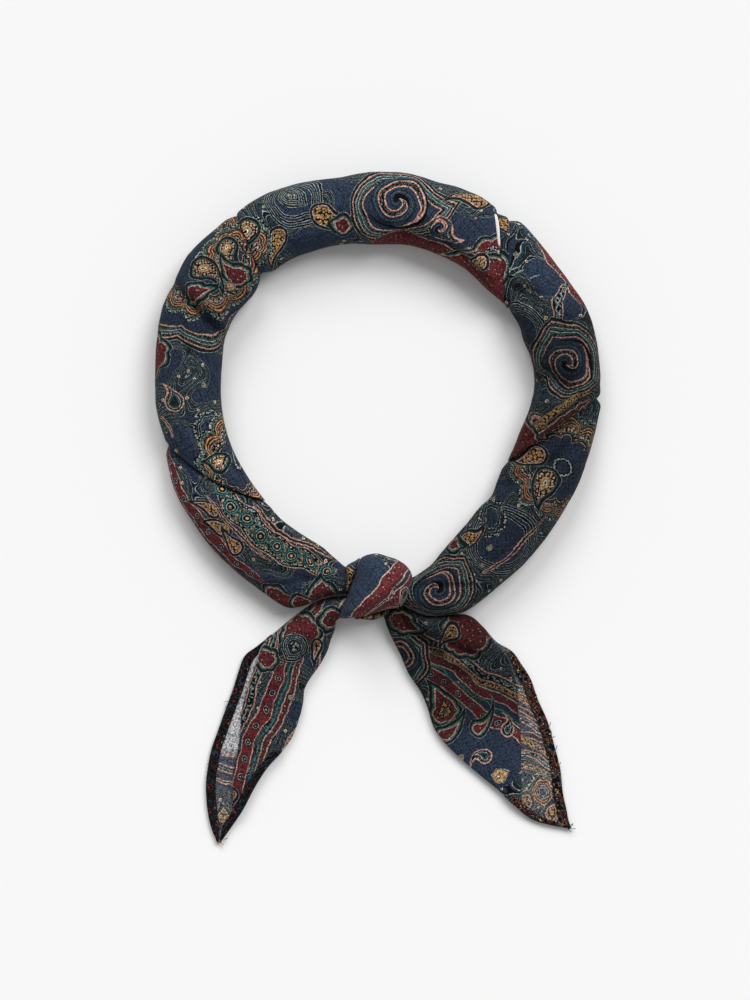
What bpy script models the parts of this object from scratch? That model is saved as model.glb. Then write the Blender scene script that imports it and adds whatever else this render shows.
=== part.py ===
"""A printed voile square rolled on its diagonal, tied in one small knot and laid flat on a table.

The roll makes a ring of five stretches that lap over each other at oblique folds. In one fold, at
the upper right, a narrow tuck of an inner layer shows, and the edge of a blank tape label. The
square's two corners leave the knot as pointed ends of two cloth layers with a turned hem. The
origin is under the middle of the whole outline, at the level of the table. +X is to the right and
+Y is away from the ends.
"""

import math
from collections import namedtuple

import bmesh
import bpy

MM = 0.001

# Driving sizes, in millimetres and degrees.
SEAM_GAP = 0.3
RING_CENTRE = (0.0, 48.5)
KNOT_CENTRE = (0.0, -33.0)
ORIGIN = (-0.36, 0.35)
KNOT_CREST = 26.0
CLOTH_WALL = 1.1
HEM_WALL = 0.9
HEM_WIDTH = 4.0
LAYER_PITCH = CLOTH_WALL + SEAM_GAP

# The rolls are rounded rectangles in section: the flat foot's share of the width, how high up they are
# widest, as a share of the crest, how square the section is, and where it turns in to the foot.
FOOT_SHARE = 0.82
WIDEST_SHARE = 0.42
ROLL_ROUNDNESS = 2.3
FOOT_KNEE = 45.0
KNOT_FOOT_SHARE = 0.93
KNOT_KNEE_SHARE = 0.98
KNOT_KNEE_HEIGHT = 0.3
KNOT_ROUNDNESS = 2.5
KNOT_LEVELS = (0, 14, 28, 42, 56, 70, 82)

# How finely the forms are drawn.
BAND_STEPS_PER_ROW = 3
STEPS_PER_ROW = 2
POINTS_OVER = 9
POINTS_UNDER = 3
POINTS_ACROSS_END = 9
SPANS_ACROSS_BACK = 8
SPANS_ACROSS_HEM = 2
KNOT_SIDES = 40

# One section of the rolled band: where it starts on the ring's inner edge and ends on its outer edge,
# its crest height, how far its middle bows onwards, and the edge of its top layer: lap is the place
# of that edge from -1, the inner side, to 1, the outer side, and step is how far it stands proud.
Section = namedtuple("Section", "in_bearing in_radius out_bearing out_radius crest bow lap step")

SEAMS = {
    "top_left": Section(134.0, 70.8, 127.2, 96.8, 16.0, 0.0, -0.9, 0.2),
    "top_right": Section(36.3, 64.6, 59.2, 92.6, 17.5, 0.0, -0.72, 1.2),
    "right_tuck": Section(34.0, 64.7, 54.9, 91.7, 15.5, 0.0, -0.9, 0.2),
    "right": Section(-27.0, 61.0, 0.6, 93.2, 14.5, 0.0, -0.9, 0.2),
    "left": Section(223.0, 65.6, 191.2, 92.2, 14.5, 3.4, -0.9, 0.2),
}

TOP_ROWS = [
    Section(130.5, 68.2, 124.0, 96.8, 19.0, 0.0, -0.9, 0.2),
    Section(124.0, 67.6, 119.0, 96.3, 20.0, 0.0, -0.9, 0.2),
    Section(115.0, 65.9, 111.0, 94.5, 20.5, 0.0, -0.9, 0.2),
    Section(103.0, 64.4, 101.0, 92.6, 20.5, 0.0, -0.9, 0.2),
    Section(90.0, 62.6, 90.0, 93.2, 21.0, 0.0, -0.9, 0.4),
    Section(78.5, 63.4, 81.0, 93.2, 21.5, 0.0, -0.86, 1.2),
    Section(67.0, 63.5, 74.0, 92.5, 21.5, 0.0, -0.76, 1.4),
    Section(56.0, 63.7, 68.0, 93.0, 21.0, 0.0, -0.7, 1.4),
    Section(45.0, 63.1, 63.0, 93.2, 20.5, 0.0, -0.7, 1.3),
]

TUCK_ROWS = [
    Section(35.2, 64.6, 57.0, 91.9, 16.5, 0.0, -0.85, 0.6),
]

LEFT_ROWS = [
    Section(137.0, 68.6, 131.0, 97.2, 18.5, 0.0, -0.9, 0.2),
    Section(142.0, 67.3, 137.0, 97.9, 20.0, 0.0, -0.9, 0.2),
    Section(149.5, 68.4, 144.5, 99.2, 20.0, 0.0, -0.9, 0.2),
    Section(156.0, 68.9, 151.0, 98.1, 19.5, 0.0, -0.9, 0.2),
    Section(163.0, 68.2, 158.5, 98.1, 19.0, 0.0, -0.9, 0.2),
    Section(171.0, 66.9, 166.0, 96.2, 19.5, 0.0, -0.9, 0.2),
    Section(180.5, 66.4, 173.0, 94.8, 20.0, 0.0, -0.9, 0.2),
    Section(191.0, 66.1, 179.0, 94.2, 20.0, 0.0, -0.9, 0.2),
    Section(202.0, 65.7, 184.0, 93.8, 19.5, 1.0, -0.9, 0.2),
    Section(213.5, 65.2, 188.2, 93.0, 18.5, 2.4, -0.9, 0.2),
]

LOWER_LEFT_ROWS = [
    Section(226.5, 66.1, 197.0, 93.5, 14.5, 2.6, -0.9, 0.2),
    Section(231.5, 66.8, 205.5, 95.0, 17.0, 1.0, -0.9, 0.2),
    Section(238.0, 67.2, 215.0, 95.3, 18.0, 0.0, -0.9, 0.2),
    Section(244.5, 67.8, 224.5, 95.8, 18.0, 0.0, -0.9, 0.2),
    Section(250.0, 68.8, 233.0, 96.2, 18.0, 0.0, -0.9, 0.2),
    Section(254.0, 71.0, 240.5, 97.0, 17.5, 0.0, -0.9, 0.2),
    Section(256.8, 72.8, 246.6, 98.0, 17.0, 0.0, -0.9, 0.2),
    Section(257.9, 73.6, 251.0, 94.0, 16.5, 0.0, -0.9, 0.2),
    Section(258.6, 74.0, 254.8, 88.6, 16.0, 0.0, -0.9, 0.2),
    Section(259.2, 74.3, 260.25, 85.4, 15.0, 0.0, -0.9, 0.2),
]

UPPER_RIGHT_ROWS = [
    Section(30.5, 65.2, 50.5, 93.6, 17.5, 0.0, -0.9, 0.2),
    Section(25.5, 65.5, 44.5, 92.7, 19.5, 0.0, -0.9, 0.2),
    Section(20.0, 64.7, 37.0, 92.3, 20.0, 0.0, -0.9, 0.2),
    Section(14.0, 65.5, 29.5, 92.9, 20.0, 0.0, -0.9, 0.2),
    Section(7.5, 65.5, 22.5, 94.4, 20.0, 0.0, -0.9, 0.2),
    Section(1.0, 64.8, 16.0, 94.4, 19.5, 0.0, -0.9, 0.2),
    Section(-6.0, 63.4, 10.5, 94.1, 19.0, 0.0, -0.9, 0.2),
    Section(-13.5, 61.6, 6.0, 93.5, 19.0, 0.0, -0.9, 0.2),
    Section(-21.0, 60.9, 3.0, 93.2, 18.5, 0.0, -0.9, 0.2),
]

LOWER_RIGHT_ROWS = [
    Section(-31.5, 60.6, -2.8, 93.6, 12.5, 0.0, 0.86, 0.3),
    Section(-37.0, 61.8, -7.5, 92.8, 15.5, 0.0, 0.86, 0.5),
    Section(-42.5, 63.9, -15.0, 92.0, 18.5, 0.0, 0.84, 1.0),
    Section(-47.5, 63.7, -23.5, 92.0, 19.5, 0.0, 0.84, 1.2),
    Section(-52.0, 64.5, -32.5, 92.1, 19.5, 0.0, 0.84, 1.2),
    Section(-56.5, 66.0, -41.5, 92.9, 19.0, 0.0, 0.84, 1.2),
    Section(-61.0, 67.7, -50.0, 94.2, 18.5, 0.0, 0.84, 1.0),
    Section(-65.5, 69.9, -57.5, 95.2, 18.0, 0.0, 0.86, 0.8),
    Section(-69.5, 72.6, -63.5, 97.0, 17.5, 0.0, 0.86, 0.5),
    Section(-73.0, 75.2, -68.6, 98.6, 17.0, 0.0, 0.86, 0.3),
    Section(-75.8, 76.6, -72.4, 97.4, 16.5, 0.0, 0.86, 0.3),
    Section(-77.8, 77.6, -76.8, 95.2, 16.0, 0.0, 0.86, 0.3),
    Section(-79.2, 78.4, -82.6, 89.8, 15.0, 0.0, 0.86, 0.3),
]

# A fold in the band: a soft trough, or a ridge where depth is below zero, from one place to another.
# Its depth at its two ends is this share of the depth in its middle.
FOLD_END_SHARE = 0.55
Fold = namedtuple("Fold", "from_bearing from_radius to_bearing to_radius half_width depth")

BAND_FOLDS = {
    "band_top": [
        Fold(84.0, 66.0, 75.0, 68.5, 2.6, 2.6),
        Fold(112.0, 93.0, 60.0, 79.0, 6.0, -1.0),
    ],
    "band_left": [
        Fold(152.0, 95.0, 160.5, 68.0, 3.2, 3.0),
        Fold(140.0, 92.0, 146.0, 70.0, 7.0, -1.0),
        Fold(172.0, 92.0, 204.0, 76.0, 5.0, 0.9),
    ],
    "band_lower_left": [
        Fold(200.0, 88.0, 243.0, 74.0, 5.0, -1.0),
        Fold(206.0, 92.0, 240.0, 88.0, 4.0, 0.9),
    ],
    "band_upper_right": [
        Fold(37.5, 69.5, 31.0, 74.0, 4.8, 3.2),
        Fold(4.0, 64.0, 1.0, 80.0, 6.5, 4.4),
        Fold(-3.0, 84.0, -19.0, 65.0, 5.0, 1.2),
        Fold(5.0, 90.0, -12.0, 68.0, 5.0, -0.8),
    ],
    "band_lower_right": [
        Fold(-12.0, 88.0, -36.0, 67.0, 2.8, 2.2),
        Fold(-22.0, 85.0, -60.0, 78.0, 6.0, -0.8),
        Fold(-66.0, 92.0, -79.0, 84.0, 3.0, 1.4),
    ],
}

# The knot's wrap, seen from above: distance of its edge from the knot's centre at each bearing.
Edge = namedtuple("Edge", "bearing radius")

WRAP_EDGE = [
    Edge(0.0, 12.9),
    Edge(18.0, 14.6),
    Edge(32.0, 14.9),
    Edge(54.0, 14.1),
    Edge(74.0, 13.6),
    Edge(92.0, 14.3),
    Edge(107.0, 14.5),
    Edge(122.0, 14.4),
    Edge(133.0, 12.9),
    Edge(145.0, 12.0),
    Edge(160.0, 11.7),
    Edge(172.0, 11.9),
    Edge(191.0, 13.2),
    Edge(203.0, 15.3),
    Edge(213.0, 19.4),
    Edge(218.0, 20.6),
    Edge(227.0, 17.2),
    Edge(239.0, 14.2),
    Edge(254.0, 11.4),
    Edge(275.0, 10.0),
    Edge(296.0, 9.9),
    Edge(319.0, 12.0),
    Edge(330.0, 12.4),
    Edge(343.0, 12.5),
]

# A layer that lies against the wrap: its thickness from above, and its height, at each bearing.
Layer = namedtuple("Layer", "bearing thickness height")

# The section of such a layer, from its inner foot: shares of its thickness and of its height.
LAYER_PROFILE = ((0.0, 0.0), (1.0, 0.0), (1.0, 0.7), (0.6, 1.0), (0.0, 0.94))

KNOT_STRIP = [
    Layer(124.0, 0.9, 15.0),
    Layer(132.0, 1.8, 18.0),
    Layer(142.0, 3.4, 19.0),
    Layer(149.0, 3.9, 19.0),
    Layer(158.0, 2.6, 18.0),
    Layer(168.0, 1.6, 17.0),
    Layer(180.0, 1.2, 15.0),
    Layer(192.0, 0.9, 13.0),
]

KNOT_ROLL = [
    Layer(233.0, 0.9, 7.0),
    Layer(242.0, 1.3, 8.0),
    Layer(250.0, 2.1, 9.0),
    Layer(257.0, 2.7, 9.0),
    Layer(268.0, 2.6, 9.0),
    Layer(279.0, 2.0, 9.0),
    Layer(292.0, 1.4, 8.0),
    Layer(303.0, 0.9, 7.0),
]

# Folds across the wrap, in the plan of the table: from and to, half width, depth.
WRAP_FOLDS = [
    (-11.5, -46.0, -4.5, -22.0, 1.6, 1.3),
    (-8.0, -44.5, 9.5, -23.5, 4.5, -1.6),
    (-5.5, -45.0, 12.0, -33.0, 2.6, 1.6),
]

# One station of a pointed end: its left and right edges, the height that the gathered cloth adds to
# its front layer, and how much of the width, from left to right, that layer leaves bare or covers.
Station = namedtuple("Station", "left_x left_y right_x right_y gather front")

LEFT_END = [
    Station(-14.8, -36.9, -17.7, -46.9, 10.5, 0.0),
    Station(-19.6, -37.2, -18.4, -48.4, 10.5, 0.0),
    Station(-25.2, -38.7, -18.6, -50.4, 10.0, 0.0),
    Station(-31.0, -41.8, -19.1, -52.4, 9.5, 0.0),
    Station(-37.7, -46.9, -20.4, -55.5, 8.5, 0.0),
    Station(-45.5, -53.2, -21.8, -60.0, 6.5, 0.02),
    Station(-51.5, -58.0, -25.0, -66.0, 5.0, 0.08),
    Station(-56.5, -62.0, -29.0, -71.5, 4.0, 0.19),
    Station(-59.0, -68.0, -31.5, -76.5, 3.2, 0.20),
    Station(-61.5, -76.0, -32.0, -81.5, 2.6, 0.19),
    Station(-65.0, -85.5, -33.5, -88.0, 2.2, 0.22),
    Station(-68.0, -94.0, -36.5, -96.0, 1.8, 0.30),
    Station(-70.5, -101.0, -41.0, -102.5, 1.4, 0.37),
    Station(-72.0, -108.0, -47.0, -109.0, 1.0, 0.44),
    Station(-73.0, -116.5, -52.5, -117.5, 0.6, 0.54),
    Station(-72.5, -126.0, -57.5, -127.0, 0.3, 0.72),
    Station(-71.0, -134.0, -62.5, -134.5, 0.0, 1.0),
    Station(-68.3, -141.0, -67.0, -141.0, 0.0, 1.0),
]
LEFT_FRONT_STATIONS = 16

RIGHT_END = [
    Station(2.2, -45.9, 11.5, -41.6, 8.0, 1.0),
    Station(3.3, -49.6, 21.8, -45.2, 8.5, 1.0),
    Station(5.3, -54.2, 36.5, -44.6, 8.5, 1.0),
    Station(9.0, -61.5, 43.5, -49.3, 7.5, 1.0),
    Station(12.5, -69.5, 49.5, -56.0, 6.0, 0.98),
    Station(17.5, -77.0, 56.0, -60.0, 4.6, 0.93),
    Station(20.5, -84.0, 60.0, -65.5, 3.8, 0.90),
    Station(23.0, -92.0, 64.0, -72.0, 3.0, 0.86),
    Station(27.5, -98.5, 67.0, -80.5, 2.4, 0.79),
    Station(34.0, -105.0, 71.0, -89.5, 1.8, 0.70),
    Station(41.5, -111.5, 74.0, -100.0, 1.3, 0.57),
    Station(50.0, -118.5, 76.5, -110.0, 0.8, 0.38),
    Station(57.0, -125.0, 77.5, -119.5, 0.4, 0.17),
    Station(64.5, -131.0, 79.0, -126.5, 0.0, 0.0),
    Station(72.5, -133.5, 80.0, -131.5, 0.0, 0.0),
    Station(80.3, -135.0, 81.3, -134.8, 0.0, 0.0),
]
RIGHT_FRONT_STATIONS = 13

# The gathered cloth in a front layer: how level its top is, how steep its sides are, and the gather
# at which the folds below reach their whole depth.
GATHER_LEVEL = 2.4
GATHER_STEEP = 0.6
GATHER_WHOLE_FOLD = 6.0

# The rows of the two tables where the hems begin, the most and least of the width that a hem takes,
# its distance from the front layer, and the share of the width from which that layer lifts a tip hem.
HEM_FROM_ROW = 5
LEFT_TIP_HEM_FROM_ROW = 12.0
RIGHT_TIP_HEM_FROM_ROW = 11.5
HEM_MOST_SHARE = 0.42
HEM_LEAST_SHARE = 0.01
HEM_TO_FRONT = 0.02
LEFT_LIFT_SHARE = 0.28
RIGHT_LIFT_SHARE = 0.17

# Folds in the front layers, in the plan of the table: from and to, half width, depth.
LEFT_END_FOLDS = [
    (-16.0, -43.0, -44.0, -79.0, 2.4, 2.4),
    (-19.0, -40.5, -48.0, -62.0, 4.0, -1.6),
    (-24.0, -58.0, -38.0, -92.0, 2.0, 1.0),
    (-22.0, -55.0, -33.0, -84.0, 1.8, -0.8),
]
RIGHT_END_FOLDS = [
    (9.0, -46.0, 25.0, -62.0, 2.2, 4.2),
    (24.0, -62.0, 53.0, -61.5, 2.4, 1.8),
    (25.0, -65.0, 55.0, -79.0, 2.0, 1.5),
    (17.0, -48.5, 47.0, -57.0, 4.0, -2.0),
    (6.0, -52.0, 22.0, -86.0, 4.0, -1.4),
    (28.0, -63.0, 54.0, -71.0, 2.6, -1.2),
]

# A blank tape label, of which only an edge shows in the fold between the top stretch and the tuck.
LABEL_WALL = 1.0
LABEL_FROM = 0.35
LABEL_TO = 1.6
LABEL_CLEARANCE = 0.7
LABEL_POINTS = slice(5, 9)
LABEL_ROWS = 3

NAVY = (0.030, 0.042, 0.085, 1.0)
SLATE = (0.045, 0.055, 0.085, 1.0)
BURGUNDY = (0.110, 0.020, 0.028, 1.0)
TAPE_WHITE = (0.82, 0.81, 0.77, 1.0)


def clear_scene():
    for obj in list(bpy.data.objects):
        bpy.data.objects.remove(obj, do_unlink=True)


def cloth_material(name, colour, roughness):
    material = bpy.data.materials.new(name)
    material.use_nodes = True
    shader = material.node_tree.nodes["Principled BSDF"]
    shader.inputs["Base Color"].default_value = colour
    shader.inputs["Roughness"].default_value = roughness
    shader.inputs["Metallic"].default_value = 0.0
    return material


def add_object(name, bm, colour, collection, roughness=0.9):
    """The bmesh as a named object, in metres from the origin, with outward faces and its own material."""
    bmesh.ops.translate(bm, vec=(-ORIGIN[0], -ORIGIN[1], 0.0), verts=bm.verts)
    bmesh.ops.scale(bm, vec=(MM, MM, MM), verts=bm.verts)
    bmesh.ops.recalc_face_normals(bm, faces=bm.faces)
    mesh = bpy.data.meshes.new(name)
    bm.to_mesh(mesh)
    bm.free()
    mesh.shade_smooth()
    mesh.materials.append(cloth_material(name, colour, roughness))
    obj = bpy.data.objects.new(name, mesh)
    collection.objects.link(obj)
    return obj


def spline_value(before, start, end, after, t):
    """A Catmull-Rom curve from start to end."""
    return 0.5 * (
        2.0 * start
        + (end - before) * t
        + (2.0 * before - 5.0 * start + 4.0 * end - after) * t * t
        + (3.0 * start - 3.0 * end + after - before) * t * t * t
    )


def smooth_rows(rows, steps):
    """The rows of a table with further ones between them, on smooth curves through each column."""
    smooth = []
    for i in range(len(rows) - 1):
        around = [rows[max(i - 1, 0)], rows[i], rows[i + 1], rows[min(i + 2, len(rows) - 1)]]
        for step in range(steps):
            columns = zip(*around)
            smooth.append(type(rows[0])(*(spline_value(*column, step / steps) for column in columns)))
    smooth.append(rows[-1])
    return smooth


def ring_point(bearing, radius):
    angle = math.radians(bearing)
    return (RING_CENTRE[0] + radius * math.cos(angle), RING_CENTRE[1] + radius * math.sin(angle))


def distance_to_line(x, y, x0, y0, x1, y1):
    """Distance from a point to a straight stretch, and how far along that stretch it is, from 0 to 1."""
    along_x, along_y = x1 - x0, y1 - y0
    length_squared = along_x * along_x + along_y * along_y
    t = ((x - x0) * along_x + (y - y0) * along_y) / length_squared
    t = min(max(t, 0.0), 1.0)
    return math.hypot(x - x0 - t * along_x, y - y0 - t * along_y), t


def fold_depth(x, y, folds):
    """How far the folds lower the cloth here. Each is deepest in its middle and fades at its ends."""
    depth = 0.0
    for x0, y0, x1, y1, half_width, fold in folds:
        distance, t = distance_to_line(x, y, x0, y0, x1, y1)
        fade = FOLD_END_SHARE + (1.0 - FOLD_END_SHARE) * math.sin(math.pi * t)
        depth += fold * fade * math.exp(-((distance / half_width) ** 2))
    return depth


def plan_folds(folds):
    """Folds given by bearing and radius round the ring, in the plan of the table."""
    places = []
    for fold in folds:
        start = ring_point(fold.from_bearing, fold.from_radius)
        end = ring_point(fold.to_bearing, fold.to_radius)
        places.append((*start, *end, fold.half_width, fold.depth))
    return places


def signed_power(value, power):
    return math.copysign(abs(value) ** power, value)


def roll_contour(half_width, section):
    """Points round a roll, from its outer foot over the crest to its inner foot, as across and height."""
    crest = section.crest
    widest = WIDEST_SHARE * crest
    foot = FOOT_SHARE * half_width
    power = 2.0 / ROLL_ROUNDNESS
    knee = math.radians(FOOT_KNEE)
    knee_across = foot + (half_width - foot) * math.cos(knee)
    knee_height = widest * (1.0 - math.sin(knee))
    lap_angle = math.acos(signed_power(section.lap, 1.0 / power))

    points = [(foot, 0.0), (knee_across, knee_height)]
    proud_side = 1 if section.lap > 0 else 0
    outer_count, inner_count = (POINTS_UNDER, POINTS_OVER) if proud_side else (POINTS_OVER, POINTS_UNDER)
    over = [lap_angle * i / outer_count for i in range(outer_count + 1)]
    under = [lap_angle + (math.pi - lap_angle) * i / inner_count for i in range(inner_count + 1)]
    for side, angles in enumerate((over, under)):
        for angle in angles:
            across = half_width * signed_power(math.cos(angle), power)
            height = widest + (crest - widest) * abs(math.sin(angle)) ** power
            if side == proud_side:
                end_angle = math.pi if side else 0.0
                lift = section.step * (end_angle - angle) / (end_angle - lap_angle)
                across += lift * math.cos(angle)
                height += lift * math.sin(angle)
            points.append((across, height))
    points += [(-knee_across, knee_height), (-foot, 0.0)]
    return points


def band_ring(section, folds, shift):
    """The points of one section in place. shift moves it along the band, square to its chord."""
    in_x, in_y = ring_point(section.in_bearing, section.in_radius)
    out_x, out_y = ring_point(section.out_bearing, section.out_radius)
    length = math.hypot(out_x - in_x, out_y - in_y)
    across_x, across_y = (out_x - in_x) / length, (out_y - in_y) / length
    along_x, along_y = -across_y, across_x
    half_width = length / 2.0
    middle_x, middle_y = (in_x + out_x) / 2.0, (in_y + out_y) / 2.0
    ring = []
    for across, height in roll_contour(half_width, section):
        share = across / half_width
        onwards = shift + section.bow * max(1.0 - share * share, 0.0)
        x = middle_x + across * across_x + onwards * along_x
        y = middle_y + across * across_y + onwards * along_y
        lowered = fold_depth(x, y, folds) * min(height / section.crest, 1.0) ** 2
        ring.append((x, y, height - lowered))
    return ring


def loft(rings):
    """A closed bmesh through rings of equal length, its two ends closed by fans round their middles."""
    bm = bmesh.new()
    loops = [[bm.verts.new(point) for point in ring] for ring in rings]
    count = len(loops[0])
    for loop, following in zip(loops, loops[1:]):
        for i in range(count):
            j = (i + 1) % count
            bm.faces.new((loop[i], loop[j], following[j], following[i]))
    for loop in (loops[0], loops[-1]):
        centre = [sum(vert.co[k] for vert in loop) / count for k in range(3)]
        middle = bm.verts.new(centre)
        for i in range(count):
            bm.faces.new((loop[i], loop[(i + 1) % count], middle))
    return bm


def add_band(name, first_seam, rows, last_seam, colour, collection):
    """One stretch of the band, between two seams or from a seam to the knot. Rows run along the stretch."""
    table = list(rows)
    if first_seam:
        table.insert(0, SEAMS[first_seam]._replace(lap=rows[0].lap))
    if last_seam:
        table.append(SEAMS[last_seam]._replace(lap=rows[-1].lap))
    direction = math.copysign(1.0, table[-1].out_bearing - table[0].out_bearing)
    folds = plan_folds(BAND_FOLDS.get(name, []))
    rings = []
    sections = smooth_rows(table, BAND_STEPS_PER_ROW)
    for i, section in enumerate(sections):
        shift = 0.0
        if i == 0 and first_seam:
            shift = direction * SEAM_GAP / 2.0
        if i == len(sections) - 1 and last_seam:
            shift = -direction * SEAM_GAP / 2.0
        seam = (i == 0 and first_seam) or (i == len(sections) - 1 and last_seam)
        rings.append(band_ring(section, [] if seam else folds, shift))
    return add_object(name, loft(rings), colour, collection)


def wrap_radius(bearing):
    """The wrap's edge at any bearing, on a smooth curve through its table."""
    bearing %= 360.0
    count = len(WRAP_EDGE)
    index = max(i for i in range(count) if WRAP_EDGE[i].bearing <= bearing)
    start = WRAP_EDGE[index]
    end = WRAP_EDGE[(index + 1) % count]
    t = (bearing - start.bearing) / ((end.bearing - start.bearing) % 360.0)
    return spline_value(
        WRAP_EDGE[index - 1].radius,
        start.radius,
        end.radius,
        WRAP_EDGE[(index + 2) % count].radius,
        t,
    )


def knot_point(bearing, radius):
    angle = math.radians(bearing)
    return KNOT_CENTRE[0] + radius * math.cos(angle), KNOT_CENTRE[1] + radius * math.sin(angle)


def add_knot_wrap(collection):
    """The cloth that goes once round the knot: a plump mound over its own outline, flat underneath."""
    widest = WIDEST_SHARE * KNOT_CREST
    power = 2.0 / KNOT_ROUNDNESS
    levels = [(KNOT_FOOT_SHARE, 0.0), (KNOT_KNEE_SHARE, KNOT_KNEE_HEIGHT * widest)]
    levels += [
        (math.cos(angle) ** power, widest + (KNOT_CREST - widest) * math.sin(angle) ** power)
        for angle in map(math.radians, KNOT_LEVELS)
    ]
    rings = []
    for share, height in levels:
        ring = []
        for side in range(KNOT_SIDES):
            bearing = 360.0 * side / KNOT_SIDES
            x, y = knot_point(bearing, share * wrap_radius(bearing))
            lowered = fold_depth(x, y, WRAP_FOLDS) * (height / KNOT_CREST) ** 2
            ring.append((x, y, height - lowered))
        rings.append(ring)
    return add_object("knot_wrap", loft(rings), NAVY, collection)


def add_knot_layer(name, rows, colour, collection):
    """A layer of cloth against the wrap's side, upright, with a rounded top."""
    rings = []
    for row in smooth_rows(rows, STEPS_PER_ROW):
        inner = wrap_radius(row.bearing) + SEAM_GAP
        ring = []
        for thickness_share, height_share in LAYER_PROFILE:
            x, y = knot_point(row.bearing, inner + thickness_share * row.thickness)
            ring.append((x, y, height_share * row.height))
        rings.append(ring)
    return add_object(name, loft(rings), colour, collection)


def add_label(collection):
    """The label's edge, made from the points of the fold that it lies on, moved out."""
    rows = []
    for i in range(LABEL_ROWS):
        shift = LABEL_FROM + (LABEL_TO - LABEL_FROM) * i / (LABEL_ROWS - 1)
        ring = band_ring(SEAMS["top_right"], [], -shift)[LABEL_POINTS]
        rows.append([moved_out(*spans, LABEL_CLEARANCE) for spans in zip(ring, outward_spans(ring))])
    bm = bmesh.new()
    spans_along, spans_across = len(rows[0]) - 1, LABEL_ROWS - 1
    grid = bmesh.ops.create_grid(bm, x_segments=spans_along, y_segments=spans_across, size=1.0)
    for vert in grid["verts"]:
        column = round((vert.co.x + 1.0) / 2.0 * spans_along)
        row = round((vert.co.y + 1.0) / 2.0 * spans_across)
        vert.co = rows[row][column]
    add_sheet("label_tape", bm, LABEL_WALL, TAPE_WHITE, collection)


def moved_out(point, span, distance):
    """A point of a roll's section moved out, square to the span between its neighbours."""
    before, after = span
    across = math.hypot(after[0] - before[0], after[1] - before[1])
    rise = after[2] - before[2]
    length = math.hypot(across, rise)
    side_x, side_y = (before[0] - after[0]) / across, (before[1] - after[1]) / across
    sideways, upwards = distance * rise / length, distance * across / length
    return point[0] + side_x * sideways, point[1] + side_y * sideways, point[2] + upwards


def outward_spans(ring):
    """For each point, the points before and after it, or itself at an end."""
    last = len(ring) - 1
    return [(ring[max(i - 1, 0)], ring[min(i + 1, last)]) for i in range(last + 1)]


def station_point(station, share):
    """The place in plan at this share of a station's width, from its left edge to its right edge."""
    x = station.left_x + share * (station.right_x - station.left_x)
    y = station.left_y + share * (station.right_y - station.left_y)
    return x, y


def station_width(station):
    return math.hypot(station.right_x - station.left_x, station.right_y - station.left_y)


def sheet_surface(stations, share_from, share_to, height_at, across):
    """An open sheet over the stations, between two shares of their width. height_at gives its underside."""
    bm = bmesh.new()
    grid = bmesh.ops.create_grid(bm, x_segments=across, y_segments=len(stations) - 1, size=1.0)
    for vert in grid["verts"]:
        column = (vert.co.x + 1.0) / 2.0
        station = stations[round((vert.co.y + 1.0) / 2.0 * (len(stations) - 1))]
        start, end = share_from(station), share_to(station)
        share = start + (end - start) * column
        x, y = station_point(station, share)
        vert.co = (x, y, height_at(station, share))
    return bm


def add_sheet(name, bm, wall, colour, collection):
    """An open sheet given its wall upwards."""
    obj = add_object(name, bm, colour, collection)
    if obj.data.polygons[0].normal.z < 0.0:
        obj.data.flip_normals()
    solidify = obj.modifiers.new("wall", "SOLIDIFY")
    solidify.thickness = wall * MM
    solidify.offset = 1.0
    solidify.use_even_offset = False
    return obj


def gather_height(station, column):
    """How high the gathered cloth lifts the front layer, at a share of that layer's width."""
    column = min(max(column, 0.0), 1.0)
    return station.gather * max(1.0 - abs(2.0 * column - 1.0) ** GATHER_LEVEL, 0.0) ** GATHER_STEEP


def over_front(station, share, front_share, lift_share):
    """The level just over the front layer, or over the back layer where the front one runs out."""
    cover = min(front_share / lift_share, 1.0)
    column = share / max(front_share, HEM_LEAST_SHARE)
    return LAYER_PITCH + cover * (LAYER_PITCH + gather_height(station, column))


def add_end_front(name, stations, share_from, share_to, folds, colour, collection):
    """The front layer of a pointed end, with the cloth gathered in it as one rounded solid."""
    rings = []
    for station in stations:
        start, end = share_from(station), share_to(station)
        top, bottom = [], []
        for i in range(POINTS_ACROSS_END + 1):
            column = 0.5 - 0.5 * math.cos(math.pi * i / POINTS_ACROSS_END)
            x, y = station_point(station, start + (end - start) * column)
            strength = min(station.gather / GATHER_WHOLE_FOLD, 1.0) * 4.0 * column * (1.0 - column)
            lift = max(gather_height(station, column) - strength * fold_depth(x, y, folds), 0.0)
            top.append((x, y, LAYER_PITCH + CLOTH_WALL + lift))
            bottom.append((x, y, LAYER_PITCH))
        rings.append(top + bottom[::-1])
    return add_object(name, loft(rings), colour, collection)


def hem_share(station):
    return min(HEM_WIDTH / station_width(station), HEM_MOST_SHARE)


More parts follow.
